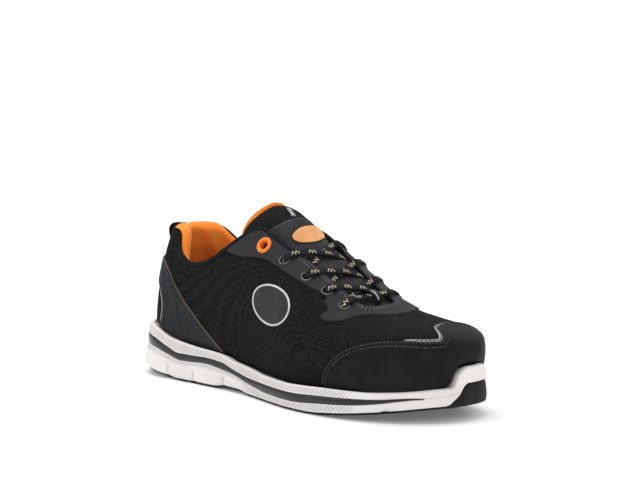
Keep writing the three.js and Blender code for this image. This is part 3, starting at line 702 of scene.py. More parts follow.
def paddingMaterial(name, dark, light):
    # soft knitted lining: small loops, a warm bloom and slow shade changes
    material, tree, shader = newMaterial(name)
    where, _ = places(tree)
    colour = mixColour(tree, ramp(tree, noise(tree, where, 28, 5), 0.3, 0.72), dark, light)
    cells = node(tree, "ShaderNodeTexVoronoi", Scale=1100)
    tree.links.new(where, cells.inputs["Vector"])
    tree.links.new(colour, shader.inputs["Base Color"])
    shader.inputs["Roughness"].default_value = 0.85
    shader.inputs["Sheen Weight"].default_value = 0.25
    shader.inputs["Sheen Tint"].default_value = (1.0, 0.72, 0.42, 1)
    shader.inputs["Specular IOR Level"].default_value = 0.15
    shader.inputs["Subsurface Weight"].default_value = 0.05
    shader.inputs["Subsurface Radius"].default_value = (0.004, 0.002, 0.001)
    first = bump(tree, shader, cells.outputs["Distance"], 0.35, 0.0004)
    bump(tree, shader, noise(tree, where, 120, 3), 0.25, 0.0008, first)
    return material


def laceMaterial():
    # charcoal braid with cream zigzag flecks; u runs along the cord in metres, v from one side to the other
    material, tree, shader = newMaterial("laceBraid")
    _, uv = places(tree)
    split = tree.nodes.new("ShaderNodeSeparateXYZ")
    tree.links.new(uv, split.inputs[0])
    u, v = split.outputs[0], split.outputs[1]
    strands = [calc(tree, "SINE", calc(tree, way, calc(tree, "MULTIPLY", u, 5200), calc(tree, "MULTIPLY", v, 3000)))
               for way in ("ADD", "SUBTRACT")]
    braid = calc(tree, "MULTIPLY", *strands)
    zigzag = calc(tree, "PINGPONG", u, 0.00125)
    offset = calc(tree, "SUBTRACT", v, calc(tree, "ADD", calc(tree, "MULTIPLY", zigzag, 2.4), 0.0036))
    line = ramp(tree, calc(tree, "ABSOLUTE", offset), 0.0005, 0.0009, 1.0, 0.0)
    cluster = ramp(tree, calc(tree, "PINGPONG", u, 0.0062), 0.0030, 0.0036, 0.0, 1.0)
    broken = ramp(tree, calc(tree, "SINE", calc(tree, "MULTIPLY", u, 7500)), -0.75, -0.35)
    fleck = calc(tree, "MULTIPLY", calc(tree, "MULTIPLY", line, cluster), broken)
    base = mixColour(tree, ramp(tree, braid, -0.4, 0.8), linear(20, 19, 19), linear(46, 44, 42))
    tree.links.new(mixColour(tree, fleck, base, linear(226, 216, 194)), shader.inputs["Base Color"])
    shader.inputs["Roughness"].default_value = 0.82
    shader.inputs["Specular IOR Level"].default_value = 0.15
    bump(tree, shader, calc(tree, "ADD", braid, fleck), 0.6, 0.0003)
    return material


seamRows = {"cap": (1.6, 3.8), "counter": (1.9, 4.0), "stay": (2.3, 4.4)}  # from the panel's edge
# the rib colour darkens the troughs of the moulded lines: painted shade
white = plainMaterial("midsoleFoam", linear(224, 220, 218), linear(234, 231, 229), 0.55, 0.12, 900, 30, gloss=0.35,
                      ribs={"pitch": 0.0028, "slant": 1.1, "troughShade": linear(168, 162, 159)})
rubber = plainMaterial("outsoleRubber", linear(24, 24, 25), linear(38, 38, 39), 0.6, 0.25, 700, 60)
stripeFinish = plainMaterial("stripeRubber", linear(22, 23, 24), linear(31, 32, 33), 0.32, 0.1, 800, 50, gloss=0.4)
capFinish = plainMaterial("toeCapCoat", linear(15, 15, 16), linear(21, 22, 23), 0.6, 0.35, 1500, 50,
                          edgeTone=linear(12, 12, 13), groove=seamRows["cap"], gloss=0.14)
# the light tan along the counter's edge is a painted highlight
counterFinish = plainMaterial("counterCoat", linear(30, 31, 33), linear(38, 39, 41), 0.6, 0.3, 1500, 40,
                              edgeTone=linear(92, 84, 76), groove=seamRows["counter"], gloss=0.14)
stayFinish = plainMaterial("eyestayCoat", linear(38, 38, 40), linear(46, 46, 48), 0.62, 0.25, 1500, 40,
                           edgeTone=linear(50, 49, 49), gloss=0.14)
textile = wovenMaterial("upperTextile", linear(17, 16, 17), linear(45, 43, 44), 0.0013, 0.85)
tongueCloth = wovenMaterial("tongueTextile", linear(22, 21, 22), linear(46, 44, 44), 0.0014, 0.85)
binding = plainMaterial("bindingKnit", linear(14, 14, 16), linear(22, 22, 24), 0.8, 0.4, 1400, 80, gloss=0.15)
orange = paddingMaterial("liningKnit", linear(247, 132, 40), linear(254, 156, 66))
orangePlastic = plainMaterial("grommetPlastic", linear(232, 118, 26), linear(242, 134, 38), 0.4, 0.2, 900, 90,
                              gloss=0.4)
thread = plainMaterial("threadGrey", linear(80, 82, 86), linear(112, 115, 119), 0.7, 0.5, 3000, 300)
threadDark = plainMaterial("threadDark", linear(52, 54, 58), linear(78, 81, 86), 0.7, 0.5, 3000, 300)
silver = plainMaterial("reflectiveTape", linear(138, 139, 142), linear(168, 169, 172), 0.45, 0.5, 2600, 200,
                       metallic=0.1)
gunmetal = plainMaterial("eyeletMetal", linear(88, 89, 92), linear(112, 113, 116), 0.34, 0.15, 1200, 200, metallic=0.7)
# near-black inside the eyelets and under the grommets: painted shade in the holes
holeShadeBlack = plainMaterial("eyeletHoleShade", linear(12, 12, 13), linear(18, 18, 19), 0.7, 0.2, 1200, 200, gloss=0.1)
insoleFinish = wovenMaterial("insoleFabric", linear(26, 26, 28), linear(52, 52, 54), 0.0022, 0.9)
badgeFinish = plainMaterial("badgePrint", linear(222, 156, 100), linear(232, 170, 118), 0.5, 0.2, 900, 90)
badgeRim = plainMaterial("badgeRim", linear(34, 27, 25), linear(46, 38, 34), 0.5, 0.2, 900, 90)
printLight = plainMaterial("markLight", linear(184, 186, 188), linear(206, 208, 210), 0.5, 0.3, 1500, 120)
printDark = plainMaterial("markDark", linear(44, 44, 46), linear(54, 54, 56), 0.5, 0.3, 1500, 120)
lace = laceMaterial()
print("materials made")


def ringAround(step, wall):
    # stations of equal steps along the outer side, and the same ones back along the inner side
    t = np.linspace(0, 3, 3001)
    x, y = wall(t, np.full(t.shape, -1))
    run = np.concatenate([[0], np.cumsum(np.hypot(np.diff(x), np.diff(y)))])
    count = int(round(run[-1] / step))
    half = np.interp(np.linspace(0, run[-1], count + 1), run, t)
    s = np.concatenate([half, half[-2:0:-1]])
    sign = np.where(np.arange(2 * count) <= count, -1, 1)
    x, y = wall(s, sign)
    return s, sign, np.concatenate([[0], np.cumsum(np.hypot(np.diff(x), np.diff(y)))])


soleLook = {
    "step": 0.65, "notchWidth": 0.85, "notchDepth": 2.3, "lipRound": 1.6, "notches": (0.68, 1.045, 1.215, 1.415),
    "pillow": 0.7, "pillowReach": 4.5, "stripeEnd": 0.9645, "blockBulge": 1.1, "footRound": 2.2, "recess": 2.2,
    "flex": 2.445, "flexWidth": 2.8, "flexRise": 3.2, "parting": 0.32, "flare": 1.9, "heelLean": 4.0,
    # the joint with the outsole, and the cup that holds the upper and the insole
    "plateInset": 3.4, "cupInset": 3.7, "cupDepth": 2.2, "cupFloor": 8.8, "seatInset": 9.6,
}


def soleRing(step):
    s, sign, run = ringAround(step, solePoint)
    x, y = solePoint(s, sign)
    return {"s": s, "sign": sign, "run": run, "x": x, "y": y}


def bandHeights(ring):
    s, sign, x = ring["s"], ring["sign"], ring["x"]
    gap, plate, length = last["gap"], last["plate"], last["length"]
    base = ground(solePoint(s, sign, 2)[0])
    hung = base + plate + gap - soleLook["plateInset"]
    bumperTop = read(bumperRows, fromToe(s, sign))
    bumper = near(22, 25.6, s, sign)
    foot = blend(hung, bumperTop + gap, bumper)
    bite = biteAt(s, sign)
    spent = np.clip((x / length - 0.83) / (soleLook["stripeEnd"] - 0.83), 0, 1)
    stripe = ((stripeTop(x) - stripeLow(x)) / 2 + 0.2) * np.sqrt(1 - spent**6) * (s < 2.7)
    # past the stripe a parting line climbs to the bumper
    parting = np.maximum(17.1 + 13 * (s - 2.7), foot + 0.4)
    middle = blend((stripeTop(x) + stripeLow(x)) / 2, parting, rise(2.6, 2.7, s))
    groove = soleLook["parting"] * rise(2.6, 2.66, s) * (1 - near(14.5, 17.5, s, sign))
    return {"x": x, "base": base, "foot": foot, "bite": bite, "middle": middle, "half": np.maximum(stripe, groove),
            "stripe": stripe, "draw": near(23.4, 25.8, s, sign), "bumper": bumper, "bumperTop": bumperTop,
            "flare": soleLook["flare"] * near(24, 38, s, sign)}


def spotOf(ring, station, side):
    return ring["run"][np.argmin(np.abs(ring["s"] - station) + (ring["sign"] != side) * 9)]


def makeMidsole():
    ring = soleRing(soleLook["step"])
    s, sign, run, x = ring["s"], ring["sign"], ring["run"], ring["x"]
    band = bandHeights(ring)
    foot, bite, k, half = band["foot"], band["bite"], band["draw"], band["half"]
    low, high = band["middle"] - half, band["middle"] + half
    # notches in the lower band, pillowed between, and one flex notch under the toes
    notches = [spotOf(ring, station, side) for side in (-1, 1) for station in soleLook["notches"]]
    distance = np.min([np.abs(run - at) for at in notches], 0)
    flexes = [spotOf(ring, soleLook["flex"], side) for side in (-1, 1)]
    flex = np.clip(1 - np.min([np.abs(run - at) for at in flexes], 0) / soleLook["flexWidth"], 0, 1)
    heelPart = 1 - rise(118, 150, x)
    # the wall leans in above the stripe at the back of the heel, and stands out at the toe
    backLean = soleLook["heelLean"] * (1 - rise(4, 56, x))
    flare = band["flare"]
    rows, ribRows = [], []

    def row(inset, share, height, ribs=0.0):
        px, py = solePoint(s, sign, inset, share)
        height = height(px) if callable(height) else height
        rows.append(np.stack([px, py, np.broadcast_to(height, px.shape)], -1))
        ribRows.append(np.broadcast_to(ribs, px.shape))

    def ceiling(px):
        return ground(px) + last["plate"] + last["gap"]

    for share in (0.0, 0.3, 0.6, 0.85):
        row(soleLook["plateInset"], share, ceiling)
    row(blend(1.7, 3.7, k), 1, ceiling)
    row(blend(1.7, 3.3, k), 1, foot + 0.25)
    for q in np.linspace(0, 1, 19):
        z = blend(foot, low, q) + soleLook["flexRise"] * flex * (1 - q) ** 3
        climb = np.clip((z - foot) / soleLook["footRound"], 0, 1)
        rounded = (1 - np.sqrt(np.clip(1 - (1 - climb) ** 2, 0, 1))) * (1 - band["bumper"])
        top = 0.35 * np.clip(1 - (low - z) / 0.8, 0, 1) ** 2 * (half > 0.1)
        bulge = soleLook["blockBulge"] * heelPart * np.sin(np.pi * np.clip(q * 1.08, 0, 1)) ** 0.8
        reach = 1 - rise(0.45, 0.66, q)
        cut = soleLook["notchDepth"] * np.exp(-(distance / soleLook["notchWidth"]) ** 2) * reach
        pillow = soleLook["pillow"] * np.exp(-(distance / soleLook["pillowReach"]) ** 2) * reach * heelPart
        zone = (1 - heelPart) * rise(0.1, 0.25, q) * rise(1.0, 0.85, q) * (1 - rise(246, 262, x))
        fringe = heelPart * rise(0.74, 0.8, q) * rise(1.0, 0.96, q) * rise(2, 16, x)
        row(0.2 + rounded + top - bulge + cut + pillow + backLean * 0.45 * q**2 - flare, 1, z, zone + fringe)
    deep = np.minimum(soleLook["recess"], half * 1.8)
    row(0.45 + deep * 0.5 + backLean * 0.45 - flare, 1, low + 0.05)
    row(deep + 0.2 + backLean * 0.45 - flare, 1, low + 0.08 * half)
    row(deep + 0.2 + backLean * 0.6 - flare, 1, high - 0.08 * half)
    row(0.3 + deep * 0.5 + backLean * 0.6 - flare, 1, high - 0.05)
    lean = 1 - near(26, 34, s, sign)
    for q in np.linspace(0, 1, 17):
        z = blend(high, bite, q)
        top = soleLook["lipRound"] * (1 - np.sqrt(np.clip(1 - np.clip(1 - (bite - z) / 1.8, 0, 1) ** 2, 0, 1)))
        start = 0.3 * np.clip(1 - (z - high) / 0.8, 0, 1) ** 2 * (half > 0.1)
        crown = -0.35 * np.sin(np.pi * q) * lean
        zone = rise(0.06, 0.2, q) * rise(0.97, 0.8, q) * (1 - rise(240, 266, x)) * rise(2, 16, x)
        row(0.15 + 0.5 * q * lean + start + top + crown + backLean * (0.6 + 0.4 * q) - flare, 1, z, zone)
    row(soleLook["cupInset"] - 0.6 + backLean, 1, bite - 0.15)
    row(soleLook["cupInset"] + backLean, 1, bite - soleLook["cupDepth"])
    row(soleLook["cupFloor"] + backLean * 0.2, 1, bite - soleLook["cupDepth"])
    for share in (1, 0.8, 0.5, 0.25, 0.0):
        row(soleLook["seatInset"], share, seat)
    points, ribs = np.stack(rows, 1), np.stack(ribRows, 1)
    uv = np.stack([np.broadcast_to((-sign * run)[:, None], ribs.shape), points[..., 2]], -1)
    faces = gridFaces(*points.shape[:2], closeA=True)
    piece = meshPiece("midsole_wall", points.reshape(-1, 3), faces, uv=uv.reshape(-1, 2),
                      values={"ribs": ribs.reshape(-1)}, angle=38)
    return done(piece, white, ["midsole"])


def makeStripe():
    ring = soleRing(1.0)
    band = bandHeights(ring)
    keep = band["stripe"] > 0.12
    outer, inner = (np.where(keep & (ring["sign"] == side))[0] for side in (-1, 1))
    # from the toe back along the outer side, and forward along the inner one
    chain = np.concatenate([outer[np.argsort(ring["s"][outer])][::-1], inner[np.argsort(ring["s"][inner])]])
    s, sign, half, middle = (v[chain] for v in (ring["s"], ring["sign"], band["stripe"], band["middle"]))
    thin = np.clip(half / 1.2, 0.05, 1)
    lean = soleLook["heelLean"] * 0.52 * (1 - rise(4, 56, band["x"][chain]))
    rows = []
    section = [(2.0, -0.9), (1.0, -0.95), (0.45, -0.86), (0.1, -0.6), (-0.1, -0.3), (-0.15, 0), (-0.1, 0.3), (0.1, 0.6),
               (0.45, 0.86), (1.0, 0.95), (2.0, 0.9)]
    for inset, share in section:
        px, py = solePoint(s, sign, inset * thin + lean)
        rows.append(np.stack([px, py, middle + share * half], -1))
    points = np.stack(rows, 1)
    piece = meshPiece("side_stripe", points.reshape(-1, 3), loftFaces(*points.shape[:2]), angle=50)
    return done(piece, stripeFinish, ["sole_stripe"])


treadLook = {
    "depth": 2.8, "width": 3.2, "crossWidth": 3, "shoulder": 0.6, "floorInset": 2.6,
    "heel": (28, 46, 64, 82), "heelBend": -7, "front": (147, 165, 183, 201, 219, 237, 255, 272), "frontBend": 9,
    # straight channels along the shoe: start and end, and the place across at each
    "along": ((30, 85.5, -9, -9), (30, 85.5, 9, 9), (150, 221, -18, -16), (150, 221, 18, 24)),
}


def makeOutsole():
    ring = soleRing(1.0)
    s, sign = ring["s"], ring["sign"]
    band = bandHeights(ring)
    k = band["bumper"]
    shoulder = band["base"] + last["plate"] - treadLook["shoulder"]
    top = blend(shoulder, band["bumperTop"], k)
    rows = []

    def row(inset, share, height):
        px, py = solePoint(s, sign, inset, share)
        rows.append(np.stack([px, py, np.broadcast_to(height(px) if callable(height) else height, px.shape)], -1))

    for share in (0.0, 0.25, 0.5, 0.75, 0.9):
        row(treadLook["floorInset"], share, ground)
    outer = blend(2.0, 0.1, k) - band["flare"]
    row(outer + 0.8, 1, band["base"] + 0.02)
    row(outer + 0.25, 1, band["base"] + 0.25)
    for i in range(11):
        q = i / 10
        z = blend(band["base"] + 0.7, top, q)
        crown = -0.5 * np.sin(np.pi * q) * k
        lip = 1.1 * np.clip(1 - (top - z) / 1.1, 0, 1) ** 2 * k
        row(outer + crown + lip, 1, z)
    row(blend(2.8, 3.0, k), 1, top)
    for share in (1, 0.75, 0.5, 0.25, 0.0):
        row(soleLook["plateInset"], share, lambda px: ground(px) + last["plate"])
    points = np.stack(rows, 1)
    piece = meshPiece("outsole_tread", points.reshape(-1, 3), gridFaces(*points.shape[:2], closeA=True), angle=35)
    cutters = []

    def cutter(outline, high):
        n = len(outline)
        low = [(px, py, -4) for px, py in outline]
        up = [(px, py, high) for px, py in outline]
        faces = [list(range(n))[::-1], list(range(n, 2 * n))]
        faces += [[i, (i + 1) % n, n + (i + 1) % n, n + i] for i in range(n)]
        cutters.append(meshPiece("cutter", low + up, faces))

    width, cross = treadLook["width"], treadLook["crossWidth"] / 2
    curved = [(at, treadLook[part + "Bend"]) for part in ("heel", "front") for at in treadLook[part]]
    for at, bend in curved:
        spots = [(at - bend, -75), (at - bend * 0.3, -30), (at, 4), (at - bend * 0.3, 38), (at - bend, 75)]
        outline = spots + [(px + width, py) for px, py in reversed(spots)]
        cutter(outline, float(ground(at + width / 2)) + treadLook["depth"])
    for x0, x1, y0, y1 in treadLook["along"]:
        cutter([(x0, y0 - cross), (x1, y1 - cross), (x1, y1 + cross), (x0, y0 + cross)], treadLook["depth"])
    bpy.ops.object.select_all(action="DESELECT")
    for block in cutters:
        block.select_set(True)
    bpy.context.view_layer.objects.active = cutters[0]
    bpy.ops.object.join()
    joined = bpy.context.active_object
    bpy.ops.object.select_all(action="DESELECT")
    bpy.context.view_layer.objects.active = piece
    piece.select_set(True)
    cut = piece.modifiers.new("tread", "BOOLEAN")
    cut.object, cut.operation, cut.solver, cut.use_self = joined, "DIFFERENCE", "EXACT", True
    bpy.ops.object.modifier_apply(modifier="tread")
    bpy.data.objects.remove(joined, do_unlink=True)
    bpy.ops.object.shade_smooth_by_angle(angle=math.radians(35))
    return done(piece, rubber, ["outsole"])


def makeInsole():
    ring = soleRing(2.5)
    s, sign = ring["s"], ring["sign"]
    rows = []
    for inset, share, drop in [(10.2, 0.0, 0), (10.2, 0.5, 0), (10.2, 0.95, 0), (9.9, 1, 0.4), (9.9, 1, 2.4),
                               (10.4, 1, 3.0), (10.2, 0.93, 2.75), (10.2, 0.8, 2.6), (10.2, 0.5, 2.6),
                               (10.2, 0.0, 2.6)]:
        px, py = solePoint(s, sign, inset, share)
        rows.append(np.stack([px, py, seat(px) + last["gap"] + drop], -1))
    points = np.stack(rows, 1)
    piece = meshPiece("insole_pad", points.reshape(-1, 3), gridFaces(*points.shape[:2], closeA=True),
                      uv=points.reshape(-1, 3)[:, :2])
    return done(piece, insoleFinish, ["insole"])


makeMidsole()
makeStripe()
makeOutsole()
makeInsole()
print("sole made")

upperLook = {
    "step": 1.25, "rows": 96,
    # soft creases: the line's points, its depth and its half width
    "creases": [
        ([(196, -44, 58), (205, -38, 64), (214, -30, 70)], 0.5, 5.0),
        ([(226, -30, 62), (231, -10, 67), (231, 8, 67.5), (227, 26, 64)], 0.45, 6.0),
        ([(120, -38, 74), (140, -39, 70), (162, -41, 60)], 0.35, 7.0),
        ([(60, -34, 66), (84, -36, 60), (104, -37, 48)], 0.3, 7.0),
        ([(100, -34, 88), (118, -35, 82), (140, -36, 80)], -0.35, 6.0),
        ([(120, 36, 74), (140, 38, 70), (162, 40, 60)], 0.4, 7.0),
        ([(196, 44, 56), (206, 38, 63), (214, 32, 68)], 0.5, 5.0),
    ],
}


def crumple(points):
    # how far each place moves out along its normal
    move = np.zeros(points.shape[:-1])
    for line, depth, width in upperLook["creases"]:
        move -= depth * np.exp(-(lineDistance(points, np.array(line, float)) / width) ** 2)
    return move


girthLook = {"step": 2.0, "cells": 60}


def girthTable():
    # how far it is over the upper from its top line to its widest line, at steps along the shoe
    xs = np.arange(8, last["length"], girthLook["step"])
    q = np.linspace(0, 1, girthLook["cells"] + 1)
    table = {}
    for side in (-1, 1):
        # the widest line's half width at each x
        t = np.linspace(0, 3, 1501)
        x0, y0, ex, ey = upperPlan(t, side)
        order = np.argsort(x0 + ex)
        rim = np.interp(xs, (x0 + ex)[order], (y0 + ey)[order])
        y = spineY(xs)[:, None] + (rim - spineY(xs))[:, None] * q
        z = heightAt(np.broadcast_to(xs[:, None], y.shape), y)
        run = np.concatenate([np.zeros((len(xs), 1)), np.cumsum(np.hypot(np.diff(y), np.diff(z)), 1)], 1)
        table[side] = (rim, run)
    return xs, table


girth = girthTable()


def flatPlace(points, sign):
    # unrolls a place on the upper: along the shoe, and down from the top
    xs, table = girth
    x, y, z = points[..., 0], points[..., 1], points[..., 2]
    i = np.clip((x - xs[0]) / girthLook["step"], 0, len(xs) - 1.001)
    i0 = i.astype(int)
    f = i - i0
    out = np.zeros(x.shape)
    for side in (-1, 1):
        rim, run = table[side]
        rimHere = rim[i0] * (1 - f) + rim[i0 + 1] * f
        q = np.clip((y - spineY(x)) / (rimHere - spineY(x)), 0, 1) * girthLook["cells"]
        j = np.clip(q, 0, girthLook["cells"] - 0.001)
        j0 = j.astype(int)
        g = j - j0
        here, ahead = (run[i0 + k, j0] * (1 - g) + run[i0 + k, j0 + 1] * g for k in (0, 1))
        v = here * (1 - f) + ahead * f
        v = v + np.where(q >= girthLook["cells"] - 0.5, np.clip(widestLine(x) - z, 0, None), 0)
        out = np.where(sign == side, side * v, out)
    return np.stack([x, out], -1)


def makeGrid():
    def wall(s, sign):
        x0, y0, ex, ey = upperPlan(s, sign)
        return x0 + ex, y0 + ey

    s, sign, _ = ringAround(upperLook["step"], wall)
    fine = np.concatenate([np.linspace(0, 1, 40), 1 + np.linspace(0, 1, 201)[1:]])
    full = formPoint(s[:, None], sign[:, None], fine[None, :])
    run = np.concatenate([np.zeros((len(s), 1)), np.cumsum(np.linalg.norm(np.diff(full, axis=1), axis=2), 1)], 1)
    share = np.linspace(0, 1, upperLook["rows"])
    level = np.stack([np.interp(share * run[i, -1], run[i], fine) for i in range(len(s))])
    points = formPoint(s[:, None], sign[:, None], level)
    normals = np.cross(np.roll(points, -1, 0) - np.roll(points, 1, 0), np.gradient(points, axis=1))
    size = np.linalg.norm(normals, axis=-1, keepdims=True)
    normals = normals / np.maximum(size, 1e-9)
    outward = points - np.array([last["length"] / 2, last["toeY"], last["bite"]])
    if (normals[:, 10] * outward[:, 10]).sum() < 0:
        normals = -normals
    normals[:, -1] = normals[:, -2]
    points = points + normals * crumple(points)[..., None]
    signs = np.broadcast_to(sign[:, None], level.shape)
    uv = flatPlace(points, signs)
    grid = {"points": points, "normals": normals, "uv": uv, "sign": signs.astype(float)}
    return {key: np.concatenate([v, v[:1]]) for key, v in grid.items()}


grid = makeGrid()
print("form drawn", grid["points"].shape)

collarLine = {
    -1: [(-20, 110.5), (40.5, 110.5), (42.8, 107), (44.3, 101), (46.8, 91.5), (52.5, 87.2), (64, 85.3), (75, 86.6),
         (88, 91.3), (98, 96.7), (108, 103), (117, 109), (123, 113), (127, 114.9), (131, 115.9), (134, 117), (137, 122),
         (140, 160)],
    1: [(-20, 110.5), (39.5, 111.5), (45, 111), (51, 107.6), (57, 102), (63, 96.6), (71, 92.4), (81, 91.4),
        (92, 94.4), (101, 99), (110, 105), (120, 111.8), (127, 116.2), (133, 119.3), (138, 120.5), (142, 122),
        (145, 160)],
}
throatLine = [
    (100, -21), (127, -21.6), (142, -22.4), (152, -22.3), (160, -21.4), (173, -18.6), (182, -17.6), (198, -16),
    (208, -15), (214, -14.6), (221, -15.4), (225.3, -14.4), (227.2, -10.6), (227.4, 0), (227.2, 10.6), (225, 14.4),
    (220, 15.4), (212, 14.8), (200, 15.2), (185, 16.2), (173, 17.8), (160, 20.4), (150, 22.4), (139, 23.6), (127, 24),
    (100, 24),
]
eyeletSpots = {-1: [(162.1, -28.2), (183.4, -28.1), (200.6, -26.2), (217.2, -26.4)],
               1: [(163.5, 28.4), (184.6, 26), (201.8, 24.8), (218.2, 24.8)]}
grommetSpots = {-1: (141.4, -27.4), 1: (144.5, 29.4)}
holeLook = {"eyelet": 3.3, "grommet": 3.6}
outside = -30  # a depth well past any panel's edge


def sideField(outline):
    return depthInside(grid["points"][..., [0, 2]], softLine(outline))


def topField(outline, floor=40):
    field = depthInside(grid["points"][..., :2], softLine(outline))
    return np.where(grid["points"][..., 2] > floor, field, outside)


collarDepth = np.full(grid["sign"].shape, 50.0)
for side in (-1, 1):
    line = collarLine[side]
    field = -sideField([*line, (line[-1][0], 200), (-20, 200)])
    collarDepth = np.where(grid["sign"] == side, field, collarDepth)
collarDepth = surfaceDepth(grid, collarDepth)
throatDepth = surfaceDepth(grid, -depthInside(grid["points"][..., :2], softLine(throatLine)))
throatDepth = np.where(grid["points"][..., 2] < 52, 40, throatDepth)
openDepth = gentleMin(collarDepth, throatDepth, 3.0)
holeDepth = np.full(openDepth.shape, 50.0)
for side in (-1, 1):
    holes = [(spot, holeLook["eyelet"]) for spot in eyeletSpots[side]] + [(grommetSpots[side], holeLook["grommet"])]
    for spot, radius in holes:
        centre = np.array([*spot, float(heightAt(*spot))])
        holeDepth = np.minimum(holeDepth, np.linalg.norm(grid["points"] - centre, axis=-1) - radius)

piece = cutPanel("upper_textile", grid, np.minimum(openDepth - 0.35, holeDepth), -1.8, 0.1, 0.8)
done(piece, textile, ["upper"])
print("textile shell made")

capSide = [(214, 5), (218.5, 12), (220.3, 19), (222.4, 26), (228, 35.3), (236, 43), (245, 48), (255, 51), (266, 52.7),
           (280, 53.6), (288, 52.8), (330, 52.8), (330, 5)]
capTop = [(276.6, 8), (277.3, 2), (279.8, -4.6), (286, -8.4), (291.4, -11.6), (293.2, -15), (292.8, -19), (330, -19),
          (330, 39), (292.8, 39), (293.2, 34), (291.4, 30.4), (286, 27), (279.8, 21.6), (277.3, 14)]
capDepth = surfaceDepth(grid, np.maximum(sideField(capSide), topField(capTop)))
overlayFoot = 0.15  # every overlay starts this far off the textile
piece = cutPanel("toe_cap_overlay", grid, capDepth, overlayFoot, 1.7, 1.3)
done(piece, capFinish, ["toe_cap"])

counterSide = [(-12, 92), (16, 90), (26, 88), (33, 85), (40, 78.5), (46.6, 70.4), (57, 61), (69.4, 51.8), (80, 44),
               (89.7, 37), (98, 31), (108, 22), (112, 5), (-12, 5)]
spindle = [(31, 36), (34, 43), (35.5, 50), (34.5, 58), (29, 66), (20, 73), (10, 76), (-12, 77), (-12, 10), (29, 10)]
counterDepth = surfaceDepth(grid, np.minimum(sideField(counterSide), -sideField(spindle)))


ridgeLook = {"lines": ([(38, 74), (48, 62), (53, 52), (54, 42), (58, 36)], [(33, 66), (39, 58), (40, 50), (38, 44)]),
             "height": 0.45, "width": 1.3, "trough": 0.25, "troughAt": 3.2, "troughWidth": 1.6}


def counterRidges(data):
    # two soft embossed ridges that run down from the back
    look, swell = ridgeLook, np.zeros(len(data))
    for line in look["lines"]:
        gap = lineDistance(data[:, [0, 2]], softLine(line, closed=False))
        swell += look["height"] * np.exp(-(gap / look["width"]) ** 2)
        swell -= look["trough"] * np.exp(-((gap - look["troughAt"]) / look["troughWidth"]) ** 2)
    return swell


piece = cutPanel("heel_counter_overlay", grid, counterDepth, overlayFoot, 1.4, 0.9, swell=counterRidges)
done(piece, counterFinish, ["heel_counter"])

staySide = [(96, 101), (101, 99.8), (110, 97.2), (121, 96.2), (135, 97.4), (148, 96.6), (155.3, 93.6), (173.3, 87.2),
            (183.3, 83.2), (198, 77.6), (205, 74), (209, 71), (209, 150), (96, 150)]
stayFront = [(204, -33), (205, -32.6), (209.6, -33.7), (211, -36.8), (208.4, -41), (211.7, -42.4), (220.7, -40.5),
             (226.7, -35.8), (230, -27), (234.4, -19), (241.5, -8), (243.6, 2), (242.6, 12.6), (239.5, 20), (234, 29),
             (229, 37), (222, 43), (213, 45.4), (209.4, 44), (211.6, 40), (210.4, 36.6), (205, 35), (204, 35)]
stayDepth = surfaceDepth(grid, np.maximum(sideField(staySide), topField(stayFront, 50)))
stayOpen = np.minimum(gentleMin(stayDepth, openDepth, 1.0), holeDepth)
piece = cutPanel("eyestay_overlay", grid, stayOpen, overlayFoot, 1.3, 0.9)
done(piece, stayFinish, ["eyestay"])
print("overlays made")


def keepLine(lines, test):
    # parts of lines whose points pass the test
    out = []
    for line in lines:
        good = test(line)
        start = None
        for i, ok in enumerate([*good, False]):
            if ok and start is None:
                start = i
            if not ok and start is not None:
                if i - start > 4:
                    out.append(line[start:i])
                start = None
    return out


def raised(lines, lift):
    out = []
    for line in lines:
        line = line.copy()
        line[:, :3] += line[:, 3:6] * lift
        out.append(line)
    return out


aboveSole = lambda line: line[:, 2] > biteLine(line[:, 0]) + 1.5
capLines = [part for depth in seamRows["cap"] for part in keepLine(contour(grid, capDepth, depth), aboveSole)]
stitches("toe_cap_stitches", raised(capLines, 1.6), threadDark)
counterLines = [part for depth in seamRows["counter"] for part in keepLine(
    contour(grid, counterDepth, depth),
    lambda line: aboveSole(line) & ((line[:, 0] > 37) | ((line[:, 2] < 66) & (depth < 3))))]
stitches("counter_stitches", raised(counterLines, 1.35), threadDark)
stayLines = [part for depth in seamRows["stay"] for part in keepLine(
    contour(grid, openDepth, depth), lambda line: (line[:, 0] > 168) & (line[:, 2] > 60))]
stitches("eyestay_stitches", raised(stayLines, 1.25), thread)
print("stitching made")



def edgeCord(name, line, look, material):
    # a cord laid along a line on the upper, thinned towards its ends
    line, at = evened(line, 1.2)
    slim = np.clip(np.minimum(at, at[-1] - at) / look["taper"], look["least"], 1) ** look["blunt"]
    piece = tube(name, line[:, :3] + line[:, 3:6] * look["lift"], line[:, 3:6], look["half"] * slim,
                 look["thick"] * slim, sides=look["sides"])
    done(piece, material)
    return line


# reflective piping round the notch of the toe cap
pipeLook = {"half": 1.35, "thick": 0.62, "lift": 0.75, "taper": 9, "least": 0.02, "blunt": 0.5, "sides": 10,
            "slot": "reflective_tape", "seamLift": 1.35, "seamEnd": 6}
pipeLine = keepLine(contour(grid, capDepth, -0.6), lambda line: ((line[:, 0] > 277) & (line[:, 2] > 48))
                    | ((line[:, 0] > 270) & (line[:, 2] > 57)))
for k, line in enumerate(pipeLine):
    line = edgeCord(f"toe_piping_{k + 1}", line, pipeLook, silver)
    seam = raised([line], pipeLook["seamLift"])[0][pipeLook["seamEnd"]:-pipeLook["seamEnd"]]
    stitches(f"toe_piping_stitches_{k + 1}", [seam], threadDark, thick=0.36)
print("piping made", len(pipeLine))

# light cord where the counter meets the back strip
cordLook = {"half": 0.75, "thick": 0.5, "lift": 0.45, "taper": 5, "least": 0.02, "blunt": 0.5, "sides": 10,
            "slot": "reflective_tape"}
stripLine = keepLine(contour(grid, counterDepth, -0.5),
                     lambda line: (line[:, 0] < 38) & (line[:, 2] > 40) & (line[:, 2] < 75) & aboveSole(line))
for k, line in enumerate(stripLine):
    edgeCord(f"heel_strip_cord_{k + 1}", line, cordLook, silver)

